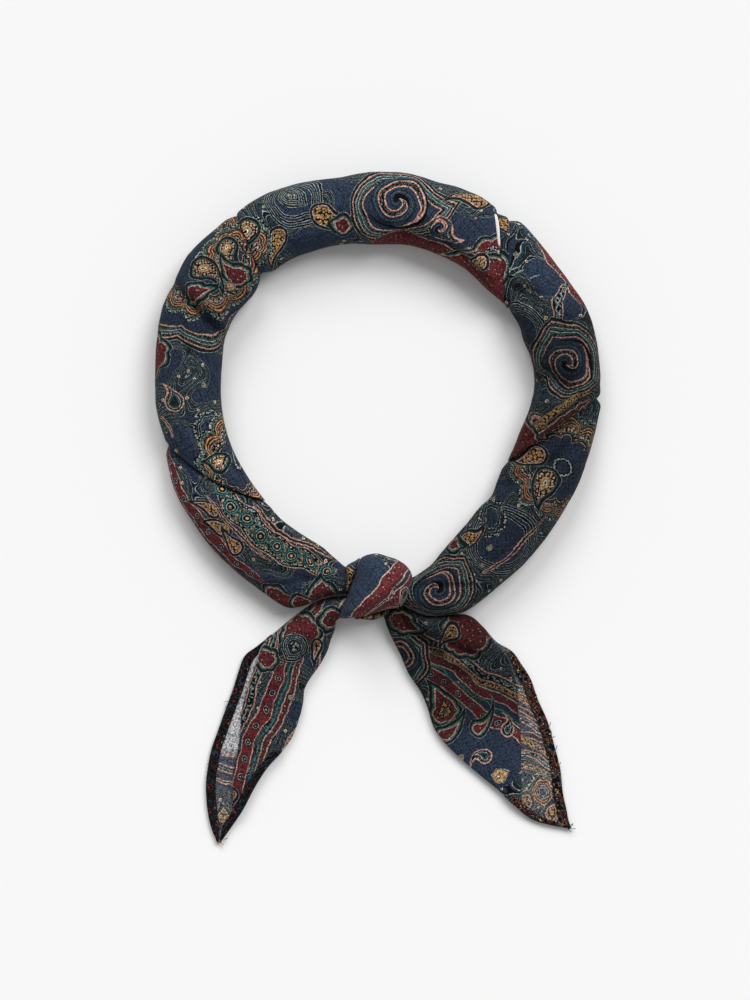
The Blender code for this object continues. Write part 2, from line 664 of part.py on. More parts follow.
def add_left_end(collection):
    """The left corner of the square: the hemmed back layer, and the layer folded over it from the right."""
    stations = smooth_rows(LEFT_END, STEPS_PER_ROW)
    tip_from = round(LEFT_TIP_HEM_FROM_ROW * STEPS_PER_ROW)

    back = sheet_surface(stations, lambda s: 0.0, lambda s: 1.0, lambda s, share: 0.0, SPANS_ACROSS_BACK)
    add_sheet("end_left_back", back, CLOTH_WALL, SLATE, collection)

    add_end_front(
        "end_left_front",
        stations[: (LEFT_FRONT_STATIONS - 1) * STEPS_PER_ROW + 1],
        lambda s: s.front,
        lambda s: 1.0,
        LEFT_END_FOLDS,
        BURGUNDY,
        collection,
    )

    hem = sheet_surface(
        stations[HEM_FROM_ROW * STEPS_PER_ROW :],
        lambda s: 0.0,
        lambda s: min(hem_share(s), max(s.front - HEM_TO_FRONT, HEM_LEAST_SHARE)),
        lambda s, share: LAYER_PITCH,
        SPANS_ACROSS_HEM,
    )
    add_sheet("end_left_hem", hem, HEM_WALL, NAVY, collection)

    tip = sheet_surface(
        stations[tip_from:],
        lambda s: 1.0 - hem_share(s),
        lambda s: 1.0,
        lambda s, share: over_front(s, share - s.front, 1.0 - s.front, LEFT_LIFT_SHARE),
        SPANS_ACROSS_HEM,
    )
    add_sheet("end_left_tip_hem", tip, HEM_WALL, NAVY, collection)


def add_right_end(collection):
    """The right corner of the square: the hemmed back layer, and the layer folded over it from the left."""
    stations = smooth_rows(RIGHT_END, STEPS_PER_ROW)
    tip_from = round(RIGHT_TIP_HEM_FROM_ROW * STEPS_PER_ROW)

    back = sheet_surface(stations, lambda s: 0.0, lambda s: 1.0, lambda s, share: 0.0, SPANS_ACROSS_BACK)
    add_sheet("end_right_back", back, CLOTH_WALL, SLATE, collection)

    add_end_front(
        "end_right_front",
        stations[: (RIGHT_FRONT_STATIONS - 1) * STEPS_PER_ROW + 1],
        lambda s: 0.0,
        lambda s: s.front,
        RIGHT_END_FOLDS,
        NAVY,
        collection,
    )

    hem = sheet_surface(
        stations[HEM_FROM_ROW * STEPS_PER_ROW :],
        lambda s: 1.0 - min(hem_share(s), max(1.0 - HEM_TO_FRONT - s.front, HEM_LEAST_SHARE)),
        lambda s: 1.0,
        lambda s, share: LAYER_PITCH,
        SPANS_ACROSS_HEM,
    )
    add_sheet("end_right_hem", hem, HEM_WALL, NAVY, collection)

    tip = sheet_surface(
        stations[tip_from:],
        lambda s: 0.0,
        hem_share,
        lambda s, share: over_front(s, share, s.front, RIGHT_LIFT_SHARE),
        SPANS_ACROSS_HEM,
    )
    add_sheet("end_right_tip_hem", tip, HEM_WALL, NAVY, collection)


def main():
    clear_scene()
    collection = bpy.data.collections.new("bandana")
    bpy.context.scene.collection.children.link(collection)

    add_band("band_top", "top_left", TOP_ROWS, "top_right", NAVY, collection)
    add_band("band_tuck", "top_right", TUCK_ROWS, "right_tuck", BURGUNDY, collection)
    add_band("band_upper_right", "right_tuck", UPPER_RIGHT_ROWS, "right", NAVY, collection)
    add_band("band_lower_right", "right", LOWER_RIGHT_ROWS, None, NAVY, collection)
    add_band("band_left", "top_left", LEFT_ROWS, "left", NAVY, collection)
    add_band("band_lower_left", "left", LOWER_LEFT_ROWS, None, BURGUNDY, collection)

    add_label(collection)

    add_knot_wrap(collection)
    add_knot_layer("knot_strip", KNOT_STRIP, SLATE, collection)
    add_knot_layer("knot_roll", KNOT_ROLL, SLATE, collection)

    add_left_end(collection)
    add_right_end(collection)


main()
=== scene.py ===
"""A printed voile bandana, rolled on its diagonal, tied in one small knot and laid flat on a table.

Run with Blender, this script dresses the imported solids: each stretch of the rolled band, each layer of
the knot and of the two pointed ends is a thin shell of cloth on its solid's form, with its creases, and
a paisley print made of nodes. Lengths in the tables are millimetres in the plan seen from above, and
angles are degrees. They become metres when a mesh is made.
"""

import math
from collections import namedtuple

import bmesh
import bpy
from mathutils import Matrix, Vector, noise


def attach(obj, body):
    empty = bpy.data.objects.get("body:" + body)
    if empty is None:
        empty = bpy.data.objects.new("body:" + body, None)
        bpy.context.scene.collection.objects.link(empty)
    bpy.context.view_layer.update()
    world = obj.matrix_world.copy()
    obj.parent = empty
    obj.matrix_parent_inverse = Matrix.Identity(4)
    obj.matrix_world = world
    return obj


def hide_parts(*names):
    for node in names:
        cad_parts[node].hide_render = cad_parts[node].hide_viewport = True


bl_info = {
    "name": "Knotted Bandana",
    "version": (1, 0, 0),
    "blender": (4, 5, 0),
    "location": "View3D > Sidebar > Bandana",
    "description": "Builds a rolled and knotted printed bandana, laid flat, with its print and hems",
    "category": "Add Mesh",
}

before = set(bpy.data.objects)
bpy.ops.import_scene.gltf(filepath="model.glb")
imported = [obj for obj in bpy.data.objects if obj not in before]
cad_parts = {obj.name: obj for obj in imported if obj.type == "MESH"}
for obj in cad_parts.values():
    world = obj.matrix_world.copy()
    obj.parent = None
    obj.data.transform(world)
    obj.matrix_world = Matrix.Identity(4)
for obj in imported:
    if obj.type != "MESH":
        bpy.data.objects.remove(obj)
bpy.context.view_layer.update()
BODY = "root"

MM = 0.001

# Driving sizes, in millimetres and degrees.
ORIGIN = (-0.36, 0.35)
RING_CENTRE = (0.0, 48.5)
KNOT_CENTRE = (0.0, -33.0)
FOOT_SHARE = 0.82
WIDEST_SHARE = 0.42
ROLL_ROUNDNESS = 2.3
KNOT_CREST = 26.0
KNOT_ROUNDNESS = 2.5
KNOT_KNEE = ((0.93, 0.0), (0.965, 0.12), (0.985, 0.35), (0.995, 0.65))
SOLID_WALL = 1.1
SEAM_GAP = 0.3
LAYER_PITCH = SOLID_WALL + SEAM_GAP
HEM_WIDTH = 4.0

# Seeds of the slack in the knot's three pieces.
WRAP_SEED = 7.0
STRIP_SEED = 11.0
ROLL_SEED = 13.0


def value_of(word):
    """A table's word as a number where it is one."""
    try:
        return float(word)
    except ValueError:
        return word


def table(row, text):
    """A table's rows from its text, one a line, each made by this function or named tuple."""
    return [row(*(value_of(word) for word in line.split())) for line in text.strip().splitlines()]


# One section of the rolled band: where it starts on the ring's inner edge and ends on its outer edge,
# its crest height, and how far its middle bows onwards.
Section = namedtuple("Section", "in_bearing in_radius out_bearing out_radius crest bow", defaults=(0.0,))

TOP_LEFT_SEAM = Section(134.0, 70.8, 127.2, 96.8, 16.0)
TOP_RIGHT_SEAM = Section(36.3, 64.6, 59.2, 92.6, 17.5)
RIGHT_TUCK_SEAM = Section(34.0, 64.7, 54.9, 91.7, 15.5)
RIGHT_SEAM = Section(-27.0, 61.0, 0.6, 93.2, 14.5)
LEFT_SEAM = Section(223.0, 65.6, 191.2, 92.2, 14.5, 3.4)

TOP_ROWS = [
    TOP_LEFT_SEAM._replace(crest=17.5),
    *table(Section, """
        130.5 68.2 124 96.8 19
        124 67.6 119 96.3 20
        115 65.9 111 94.5 20.5
        103 64.4 101 92.6 20.5
        90 62.6 90 93.2 21
        78.5 63.4 81 93.2 21.5
        67 63.5 74 92.5 21.5
        56 63.7 68 93 21
        45 63.1 63 93.2 20.5
    """),
    TOP_RIGHT_SEAM,
]

TUCK_ROWS = [
    TOP_RIGHT_SEAM._replace(crest=16.2),
    Section(35.2, 64.6, 57.0, 91.9, 16.5),
    RIGHT_TUCK_SEAM,
]

LEFT_ROWS = [
    TOP_LEFT_SEAM._replace(crest=15.0),
    *table(Section, """
        137 68.6 131 97.2 18.5
        142 67.3 137 97.9 20
        149.5 68.4 144.5 99.2 20
        156 68.9 151 98.1 19.5
        163 68.2 158.5 98.1 19
        171 66.9 166 96.2 19.5
        180.5 66.4 173 94.8 20
        191 66.1 179 94.2 20
        202 65.7 184 93.8 19.5 1
        213.5 65.2 188.2 93 18.5 2.4
    """),
    LEFT_SEAM._replace(crest=16.0),
]

LOWER_LEFT_ROWS = [
    LEFT_SEAM._replace(crest=13.6),
    *table(Section, """
        226.5 66.1 197 93.5 14.5 2.6
        231.5 66.8 205.5 95 17 1
        238 67.2 215 95.3 18
        244.5 67.8 224.5 95.8 18
        250 68.8 233 96.2 18
        254 71 240.5 97 17.5
        256.8 72.8 246.6 98 17
        257.9 73.6 251 94 16.5
        258.6 74 254.8 88.6 16
        259.2 74.3 260.25 85.4 15
    """),
]

UPPER_RIGHT_ROWS = [
    RIGHT_TUCK_SEAM._replace(crest=15.0),
    *table(Section, """
        30.5 65.2 50.5 93.6 17.5
        25.5 65.5 44.5 92.7 19.5
        20 64.7 37 92.3 20
        14 65.5 29.5 92.9 20
        7.5 65.5 22.5 94.4 20
        1 64.8 16 94.4 19.5
        -6 63.4 10.5 94.1 19
        -13.5 61.6 6 93.5 19
        -21 60.9 3 93.2 18.5
    """),
    RIGHT_SEAM._replace(crest=16.0),
]

LOWER_RIGHT_ROWS = [
    RIGHT_SEAM._replace(crest=12.0),
    *table(Section, """
        -31.5 60.6 -2.8 93.6 12.5
        -37 61.8 -7.5 92.8 15.5
        -42.5 63.9 -15 92 18.5
        -47.5 63.7 -23.5 92 19.5
        -52 64.5 -32.5 92.1 19.5
        -56.5 66 -41.5 92.9 19
        -61 67.7 -50 94.2 18.5
        -65.5 69.9 -57.5 95.2 18
        -69.5 72.6 -63.5 97 17.5
        -73 75.2 -68.6 98.6 17
        -75.8 76.6 -72.4 97.4 16.5
        -77.8 77.6 -76.8 95.2 16
        -79.2 78.4 -82.6 89.8 15
    """),
]

# A crease in the cloth, in the plan: from one place to another, half its width, and its depth, below
# zero for a ridge.
Crease = namedtuple("Crease", "x0 y0 x1 y1 half_width depth")


def ring_point(bearing, radius):
    angle = math.radians(bearing)
    return RING_CENTRE[0] + radius * math.cos(angle), RING_CENTRE[1] + radius * math.sin(angle)


def ring_crease(from_bearing, from_radius, to_bearing, to_radius, half_width, depth):
    """A crease given by its two places round the ring."""
    start = ring_point(from_bearing, from_radius)
    end = ring_point(to_bearing, to_radius)
    return Crease(*start, *end, half_width, depth)


# The end of a stretch of the band: over its neighbour with a rolled lip, or under it, or in the knot.
# Each row is a further section past the end: how far past it, and its size beside the end's own.
END_RINGS = {
    "over": [(0.5, 0.995), (1.1, 0.975), (1.5, 0.94), (1.6, 0.9), (1.3, 0.86), (0.0, 0.82), (-3.0, 0.8)],
    "under": [(2.5, 0.97), (6.0, 0.92)],
    "knot": [(2.5, 0.93), (5.0, 0.84), (8.0, 0.7)],
}

LOWER_LEFT_IN_KNOT = Section(262.5, 76.0, 266.0, 84.0, 12.0)
LOWER_RIGHT_IN_KNOT = Section(-84.0, 79.0, -88.0, 87.0, 12.0)

BAND_CREASES = {
    "top_stretch": table(ring_crease, """
        88 63 74 68.5 2.6 4.6
        112 93 60 79 6 -1
        76 68 48 70 1.6 0.7
        127 92 121 70 3 0.8
        108 66 96 76 2.2 0.5
        99 91 72 87 2.4 0.45
        66 90 44 68 2.6 0.9
        118 68 104 64 2 1.6
        94 72 70 64.5 1.8 1.5
        60 74 40 64 1.8 -0.9
        126 82 106 88 1.6 0.7
        80 94 64 91 1.8 1.1
        82 64.5 64 68.8 1.1 1.7
        66 68.8 44 66 1.1 1.9
        82 67.5 62 71.5 2 -0.9
        64 71.5 44 69 1.8 -1
        132 90 126 72 1.2 1.1
        122 95 108 91 1.3 1
    """),
    "left_stretch": table(ring_crease, """
        152 97 160.5 68 2 4.6
        150 96 157.5 70 3.4 -2.2
        153.5 94 163 69 3.2 1.4
        165 92 172 68 1.3 1
        206 88 216 70 1.4 1.3
        140 92 146 70 7 -1
        172 92 204 76 5 0.9
        164 90 178 69 2.4 0.6
        147 96 150 74 2.2 0.5
        184 90 211 68 2.2 0.7
        136 72 150 71 2 0.8
        150 88 158 71 1.5 -1.1
        157 95 168 82 2.2 0.9
        186 92 196 84 2 1.2
        196 76 214 66 1.6 1.3
        160 67 172 66 2.2 1
    """),
    "lower_left_stretch": table(ring_crease, """
        200 88 243 74 5 -1
        206 92 240 88 4 0.9
        224 72 250 80 2.2 0.8
        231 92 256 82 2.4 0.9
        244 72 257 77 1.8 1.2
        210 94 226 93 1.8 1
        236 96 250 94 2.2 1.4
        216 80 232 72 1.6 0.9
        240 94 254 80 1.3 1.5
        198 90 214 82 1.3 1.1
        247 72.5 256 84 1.4 1.6
    """),
    "upper_right_stretch": table(ring_crease, """
        37.5 69.5 31 74 3.8 6
        4 64 1 80 5.5 6
        -2 86 -20 64 2.2 1.9
        4 91 -17 66 2.2 -1.9
        8 88 -8 68 2 2
        46 88 32 72 2.2 0.8
        41 90 24 68 2.6 0.6
        22 88 6 72 2.6 0.8
        -4 94 -20 70 1.5 -1.3
        30 92 16 90 1.8 1
        8 66 -14 63 2.2 1.4
        50 84 40 70 1.5 1
        2 92 -6 88 2 1.2
        47 92 36 70 1.2 1.6
        2 92 -18 66 1.1 1.8
        12 74 0 66 1.6 2.4
        0 80 -16 63 1.4 1.9
        -21 62 -16 72 2.6 4
    """),
    "lower_right_stretch": table(ring_crease, """
        -12 88 -36 67 2.8 2.2
        -22 85 -60 78 6 -0.8
        -66 92 -79 84 3 1.4
        -30 66 -50 70 2 0.8
        -17 90 -46 74 2.2 0.6
        -56 72 -76 82 2 0.9
        -30 91 -52 92 1.8 1.1
        -38 68 -56 69 1.6 1.2
        -8 90 -26 76 1.5 1.2
        -12 92 -34 68 1.2 1.7
        -62 92 -78 82 1.3 1.5
        -36 88 -60 86 1.2 0.8
        -64 74 -76 80 1.3 1.4
        -33 62 -40 66 2.4 4
    """),
}

# A stretch of the band: its ends' kinds, and the section that comes next past each end.
Stretch = namedtuple("Stretch", "piece node rows first last before after")

STRETCHES = [
    Stretch("top_stretch", "band_top", TOP_ROWS, "over", "over", LEFT_ROWS[1], UPPER_RIGHT_ROWS[1]),
    Stretch("tuck", "band_tuck", TUCK_ROWS, "under", "over", TOP_ROWS[-2], UPPER_RIGHT_ROWS[1]),
    Stretch("left_stretch", "band_left", LEFT_ROWS, "under", "over", TOP_ROWS[1], LOWER_LEFT_ROWS[1]),
    Stretch(
        "lower_left_stretch",
        "band_lower_left",
        LOWER_LEFT_ROWS,
        "under",
        "knot",
        LEFT_ROWS[-2],
        LOWER_LEFT_IN_KNOT,
    ),
    Stretch(
        "upper_right_stretch",
        "band_upper_right",
        UPPER_RIGHT_ROWS,
        "under",
        "over",
        TOP_ROWS[-2],
        LOWER_RIGHT_ROWS[1],
    ),
    Stretch(
        "lower_right_stretch",
        "band_lower_right",
        LOWER_RIGHT_ROWS,
        "under",
        "knot",
        UPPER_RIGHT_ROWS[-2],
        LOWER_RIGHT_IN_KNOT,
    ),
]

# The knot's wrap, seen from above: distance of its edge from the knot's centre at each bearing.
Edge = namedtuple("Edge", "bearing radius")

WRAP_EDGE = table(Edge, """
    0 12.9
    18 14.6
    32 14.9
    54 14.1
    74 13.6
    92 14.3
    107 14.5
    122 14.4
    133 12.9
    145 12
    160 11.7
    172 11.9
    191 13.2
    203 15.3
    213 19.4
    218 20.6
    227 17.2
    239 14.2
    254 11.4
    275 10
    296 9.9
    319 12
    330 12.4
    343 12.5
""")

WRAP_CREASES = table(Crease, """
    -11.5 -46 -4.5 -22 1.6 1.3
    -8 -44.5 9.5 -23.5 4.5 -1.6
    -5.5 -45 12 -33 2 1.7
    -10 -46 3 -24 1.3 0.5
    -7 -44 12.5 -28 1.2 0.7
    -3 -43 9 -39 1.6 0.8
    -9 -41 -1 -22 1 1.2
    -4 -44 11 -30 1 1.1
""")

# A layer that lies against the wrap: its thickness from above, and its height, at each bearing.
Layer = namedtuple("Layer", "bearing thickness height")

KNOT_STRIP = table(Layer, """
    124 0.3 7
    132 1.6 14
    142 3.4 18.5
    149 3.9 19
    158 2.6 18
    168 1.6 17
    180 1.2 15
    192 0.4 9
""")

KNOT_ROLL = table(Layer, """
    233 0.9 7
    242 1.3 8
    250 2.1 9
    257 2.7 9
    268 2.6 9
    279 2 9
    292 1.4 8
    303 0.9 7
""")

# One station of a pointed end: its left and right edges, the height that the gathered cloth adds to
# its front layer, and how much of the width, from left to right, that layer leaves bare or covers.
Station = namedtuple("Station", "left_x left_y right_x right_y gather front")

LEFT_STATIONS = table(Station, """
    -8 -34 -9.5 -41 8 0
    -14.8 -36.9 -17.7 -46.9 10.5 0
    -19.6 -37.2 -18.4 -48.4 10.5 0
    -25.2 -38.7 -18.6 -50.4 10 0
    -31 -41.8 -19.1 -52.4 9.5 0
    -37.7 -46.9 -20.4 -55.5 8.5 0
    -45.5 -53.2 -21.8 -60 6.5 0.02
    -51.5 -58 -25 -66 5 0.08
    -56.5 -62 -29 -71.5 4 0.19
    -59 -68 -31.5 -76.5 3.2 0.2
    -61.5 -76 -32 -81.5 2.6 0.19
    -65 -85.5 -33.5 -88 2.2 0.22
    -68 -94 -36.5 -96 1.8 0.3
    -70.5 -101 -41 -102.5 1.4 0.37
    -72 -108 -47 -109 1 0.44
    -73 -116.5 -52.5 -117.5 0.6 0.54
    -72.5 -126 -57.5 -127 0.3 0.72
    -71 -134 -62.5 -134.5 0 1
    -68.3 -141 -67 -141 0 1
""")

RIGHT_STATIONS = table(Station, """
    0 -40 4.5 -36 6 1
    2.2 -45.9 11.5 -41.6 8 1
    3.3 -49.6 21.8 -45.2 8.5 1
    5.3 -54.2 36.5 -44.6 8.5 1
    9 -61.5 43.5 -49.3 7.5 1
    12.5 -69.5 49.5 -56 6 0.98
    17.5 -77 56 -60 4.6 0.93
    20.5 -84 60 -65.5 3.8 0.9
    23 -92 64 -72 3 0.86
    27.5 -98.5 67 -80.5 2.4 0.79
    34 -105 71 -89.5 1.8 0.7
    41.5 -111.5 74 -100 1.3 0.57
    50 -118.5 76.5 -110 0.8 0.38
    57 -125 77.5 -119.5 0.4 0.17
    64.5 -131 79 -126.5 0 0
    72.5 -133.5 80 -131.5 0 0
    80.3 -135 81.3 -134.8 0 0
""")

LEFT_END_CREASES = table(Crease, """
    -16 -43 -44 -79 2.4 2.4
    -19 -40.5 -48 -62 4 -1.6
    -24 -58 -38 -92 2 1
    -22 -55 -33 -84 1.8 -0.8
    -30 -44 -52 -66 1.6 0.7
    -40 -66 -52 -100 3 0.7
    -20 -47 -40 -74 1.3 1.8
    -26 -45 -46 -64 1.2 1
    -30 -66 -40 -96 1.3 0.9
""")
RIGHT_END_CREASES = table(Crease, """
    9 -46 25 -62 2.4 5.4
    24 -62 26 -80 2.2 2.6
    24 -62 53 -61.5 2.4 1.8
    25 -65 55 -79 2 1.5
    17 -48.5 47 -57 4 -2
    10 -54 20 -80 4.2 1.8
    30 -63 54 -71 2.6 -1.6
    26 -65 22 -82 2 0.9
    30 -70 48 -104 4 0.8
    10 -50 17 -66 1.3 2.0
    22 -53 50 -66 1.3 1.6
    18 -60 26 -84 1.3 1.3
""")

# A pointed end: its name and its solids', its stations, how many of them its front layer has, the edge
# that this layer lies along (0 for the left one, 1 for the right one), the row from which its tip is
# hemmed, the front layer's share of the width at which it lifts that hem whole, its creases, and the
# seed of its slack.
End = namedtuple("End", "name node stations front_rows front_edge tip_hem_from lift_share creases seed")

LEFT_END = End("left_end", "end_left", LEFT_STATIONS, 17, 1.0, 13.0, 0.28, LEFT_END_CREASES, 21.0)
RIGHT_END = End("right_end", "end_right", RIGHT_STATIONS, 14, 0.0, 12.5, 0.17, RIGHT_END_CREASES, 31.0)

# The form of the gathered front layer: how level its top is, how steep its sides are, and the gather at
# which its creases are whole.
GATHER_LEVEL = 2.4
GATHER_STEEP = 0.6
GATHER_WHOLE_FOLD = 6.0

# A hem: its piece and solid, the stations that it follows, the side of them that it is on, its width as
# a share of theirs, and the height of what it lies on.
Hem = namedtuple("Hem", "piece node stations outer width_of base_of")

HEM_FROM_ROW = 6
HEM_MOST_SHARE = 0.42
HEM_LEAST_SHARE = 0.01
HEM_TO_FRONT = 0.02

# A blank tape label, of which only an edge shows in the fold between the top stretch and the tuck: how
# far from the seam it starts, where it comes over the lip and where it ends, how far it stands out, and
# which of the roll's points it follows.
LABEL_FROM = -3.0
LABEL_LIP = 1.0
LABEL_TO = 1.75
LABEL_OUT = 0.5
LABEL_POINTS = slice(21, 37)
LABEL_STEPS = 8
LABEL_TAPER = 0.6
TAPE_THICKNESS = 0.35

# How finely the forms are drawn.
STEPS_UNDER = 4
STEPS_AT_KNEE = 4
STEPS_OVER = 60
STEPS_ROUND_KNOT = 120
STEPS_UP_KNOT = 30
STEPS_ACROSS_BACK = 40
STEPS_ACROSS_FRONT = 56
STEPS_UNDER_FRONT = 12
LAYER_SPACING = 2.0

# How the cloth lies, in millimetres: the height of its slack on the band (and the share of it left where
# the band is held), on the layer on the table, on a hem and beside the knot, the level of the layer on
# the table and of its edge, the hems on it, the rounding of a folded edge, and the ends' longest waves,
# with their pitch.
RIPPLE = 0.5
HELD_RIPPLE = 0.3
BACK_RIPPLE = 0.18
HEM_RIPPLE = 0.16
LAYER_RIPPLE = 0.25
BACK_LEVEL = 0.7
EDGE_LEVEL = 0.3
HEM_LEVEL = 1.05
EDGE_ROUND = 0.8
END_WAVE = 1.2
END_WAVE_PITCH = 24.0

# The ends lie still within the first of these distances of the knot, and move freely past the second.
END_STILL = 25.0
END_FREE = 60.0

# The share of the slack's height that its lumps of each pitch give.
SLACK_SHARES = {11.0: 1.0, 4.2: 0.4}

# The share of a crease's depth that it has at its ends, what its middle adds to that, and how many half
# widths it reaches.
CREASE_END_SHARE = 0.55
CREASE_SWELL = 0.45
CREASE_REACH = 2.6

# The lines drawn in the band: their depth, the radius at which their length counts, how far they slant,
# the pitches along and across them, and their width as a share of the noise.
DRAWN_DEPTH = 0.5
DRAWN_RADIUS = 79.0
DRAWN_SLANT = 0.28
DRAWN_PITCHES = (22.0, 6.5)
DRAWN_WIDTH = 0.11

# Points nearer than this are one point, and an edge shorter than this is none.
MERGE_WITHIN = 0.02
NO_LENGTH = 0.001

# How far a roll sinks where it goes under its neighbour, as a share of its size, and over what length,
# between which distances from an end its creases begin, how far the cloth that is turned in at an end
# stays off the table, and how much smaller than the roll it is by then.
UNDER_SINK = 0.1
UNDER_REACH = 6.0
FREE_FROM_END = (0.5, 5.0)
FOOT_LIFT = 0.8
FOOT_LIFT_AT = (0.04, 0.12)

# The least width, in metres, that a cut piece is given as.
NARROWEST_CUT = 0.0101

# Sewing thread: where it runs, as a share of the hem's width, and half the length, width and height of
# one stitch, which slants by this many degrees.
STITCH_SHARE = 0.82
STITCH_HALF = (0.7, 0.2, 0.16)
STITCH_SLANT = 14.0

# Frayed yarn ends: where each starts, the way that it goes in degrees, and its length.
Fray = namedtuple("Fray", "x y bearing length")

YARN_RADIUS = 0.14
YARN_LEVEL = 1.2
YARN_BEND = 70.0
FRAYS = {
    "left_end": table(Fray, """
        -67.4 -140.2 285 2.6
        -67.9 -140 250 2
        -66.2 -139.2 330 2.4
        -68.2 -139.2 215 1.6
        -63.5 -81.4 150 1.9
        -64 -83 190 1.4
        -71.4 -107.6 170 1.3
        -61.8 -131.6 340 1.4
    """),
    "right_end": table(Fray, """
        80.6 -134.7 320 2.6
        80.8 -134.4 20 2.1
        79.9 -134.9 280 2
        80.4 -133.6 350 1.5
        71.6 -91.8 30 2
        72.6 -95.6 60 2.3
        73 -96.4 340 1.6
        74.6 -101.6 40 2
        76 -108 15 1.3
        66 -79.4 25 1.2
    """),
}

# Sections, as shares. A hem is followed from the cloth's edge inwards, and a knot's layer from its
# outer foot over its top.
Share = namedtuple("Share", "across up")

HEM_OUTLINE = table(Share, """
    0.04 0
    -0.04 0.3
    -0.03 0.7
    0.05 0.94
    0.16 1
    0.4 1.04
    0.64 1.04
    0.84 0.98
    0.95 0.8
    1 0.45
    1 0
""")
KNOT_LAYER_OUTLINE = table(Share, """
    0 0
    0.5 0
    1 0
    1.04 0.2
    1.05 0.4
    1.02 0.6
    0.95 0.78
    0.82 0.9
    0.6 0.98
    0.4 1
    0.2 0.98
    0.05 0.92
    0 0.8
    0 0.4
    0 0
""")

PRINT_MAP = "print"

# The stage: half the table's side in metres, the ways that the lights shine from and their spread in
# degrees, and, in millimetres, the middle of the view, its height, the level at which that height is
# taken, and the camera's sensor. Nothing nearer to the camera than the last, in metres, is drawn.
TABLE_HALF_SIDE = 2.0
KEY_FROM = (0.66, 0.75, 1.1)
FILL_FROM = (-0.26, 0.96, 0.8)
LIGHT_SPREAD = 32.0
VIEW_CENTRE = (-1.32, 3.43)
VIEW_HEIGHT = 420.0
VIEW_LEVEL = 10.0
SENSOR_HEIGHT = 24.0
NEAREST_SEEN = 0.05


# Settings that a user would change ------------------------------------------------------------------


def colour_setting(name, description, red, green, blue):
    """A colour for the panel, from its display values of 0 to 255."""
    return bpy.props.FloatVectorProperty(
        name=name,
        description=description,
        subtype="COLOR",
        size=3,
        min=0.0,
        max=1.0,
        default=tuple(linear(value) for value in (red, green, blue)),
    )


def linear(value):
    """A display value of 0 to 255 as scene-linear light."""
    share = value / 255.0
    if share <= 0.04045:
        return share / 12.92
    return ((share + 0.055) / 1.055) ** 2.4


def length_setting(name, description, default, low, high):
    """A length for the panel, given in millimetres."""
    return bpy.props.FloatProperty(
        name=name,
        description=description,
        default=default * MM,
        min=low * MM,
        max=high * MM,
        precision=4,
        unit="LENGTH",
    )


class BandanaPrintSettings(bpy.types.PropertyGroup):
    navy: colour_setting("Navy", "Ground of the print", 36, 49, 69)
    ink: colour_setting("Ink", "Darkest outlines", 9, 9, 10)
    brown: colour_setting("Brown", "Bands between the curls' lines", 42, 30, 27)
    red: colour_setting("Burgundy", "Red fields", 100, 30, 38)
    salmon: colour_setting("Salmon", "Curl lines", 176, 130, 114)
    gold: colour_setting("Gold", "Cells and flowers", 178, 134, 68)
    cream: colour_setting("Cream", "Smallest flowers", 208, 194, 164)
    teal: colour_setting("Teal", "Green outlines", 42, 104, 96)
    sage: colour_setting("Sage", "Grey-green bands", 134, 148, 144)
    pine: colour_setting("Pine", "Dark green of the gardens", 23, 29, 31)
    tape: colour_setting("Label tape", "Blank woven label", 236, 234, 228)


class BandanaClothSettings(bpy.types.PropertyGroup):
    cloth: length_setting("Cloth", "Thickness of the voile", 0.4, 0.1, 1.0)
    hem: length_setting("Hem", "Thickness of the turned hem", 0.75, 0.3, 1.5)
    yarn: length_setting("Yarn pitch", "Distance between neighbouring yarns of the weave", 0.62, 0.2, 2.0)
    spacing: length_setting("Mesh spacing", "Distance between mesh points along the cloth", 1.0, 0.5, 4.0)
    stitch: length_setting("Stitch pitch", "Distance between the hem's stitches", 2.4, 1.0, 6.0)


class BandanaStageSettings(bpy.types.PropertyGroup):
    floor: colour_setting("Floor", "Colour of the table", 245, 245, 245)
    key_power: bpy.props.FloatProperty(
        name="Key light", description="Power of the large soft light", default=1.7, min=0.0, unit="POWER"
    )
    world_light: bpy.props.FloatProperty(
        name="Room light", description="Strength of the even light from all round", default=0.335, min=0.0
    )
    fill_power: bpy.props.FloatProperty(
        name="Fill light", description="Power of the second soft light", default=1.48, min=0.0, unit="POWER"
    )
    camera_height: bpy.props.FloatProperty(
        name="Camera height", description="Height of the camera over the table", default=1.4, unit="LENGTH"
    )


# Node trees built from arithmetic ---------------------------------------------------------------------


class Field:
    """A value in a node tree. Arithmetic on it adds Math nodes."""

    def __init__(self, tree, socket):
        self.tree = tree
        self.socket = socket

    def math(self, operation, *others):
        return added(self.tree, "Math", enumerate((self, *others)), operation=operation)

    def __add__(self, other):
        return self.math("ADD", other)

    def __sub__(self, other):
        return self.math("SUBTRACT", other)

    def __rsub__(self, other):
        return (self * -1.0).math("ADD", other)

    def __mul__(self, other):
        return self.math("MULTIPLY", other)

    def __truediv__(self, other):
        return self.math("DIVIDE", other)

    def __pow__(self, other):
        return self.math("POWER", other)

    def absolute(self):
        return self.math("ABSOLUTE")

    def sine(self):
        return self.math("SINE")

    def cosine(self):
        return self.math("COSINE")

    def root(self):
        return self.math("SQRT")

    def part(self):
        """What is left of it past a whole number."""
        return self.math("FRACT")

    def over(self, other):
        return self.math("GREATER_THAN", other)

    def under(self, other):
        return self.math("LESS_THAN", other)

    def smooth(self, low, high):
        """0 at low and 1 at high, smoothly."""
        inputs = enumerate((self, low, high, 0.0, 1.0))
        return added(self.tree, "MapRange", inputs, "Result", interpolation_type="SMOOTHSTEP")


def plug(tree, socket, value):
    """Links a value into a socket, or sets it there."""
    if isinstance(value, Field):
        tree.links.new(value.socket, socket)
    else:
        socket.default_value = value


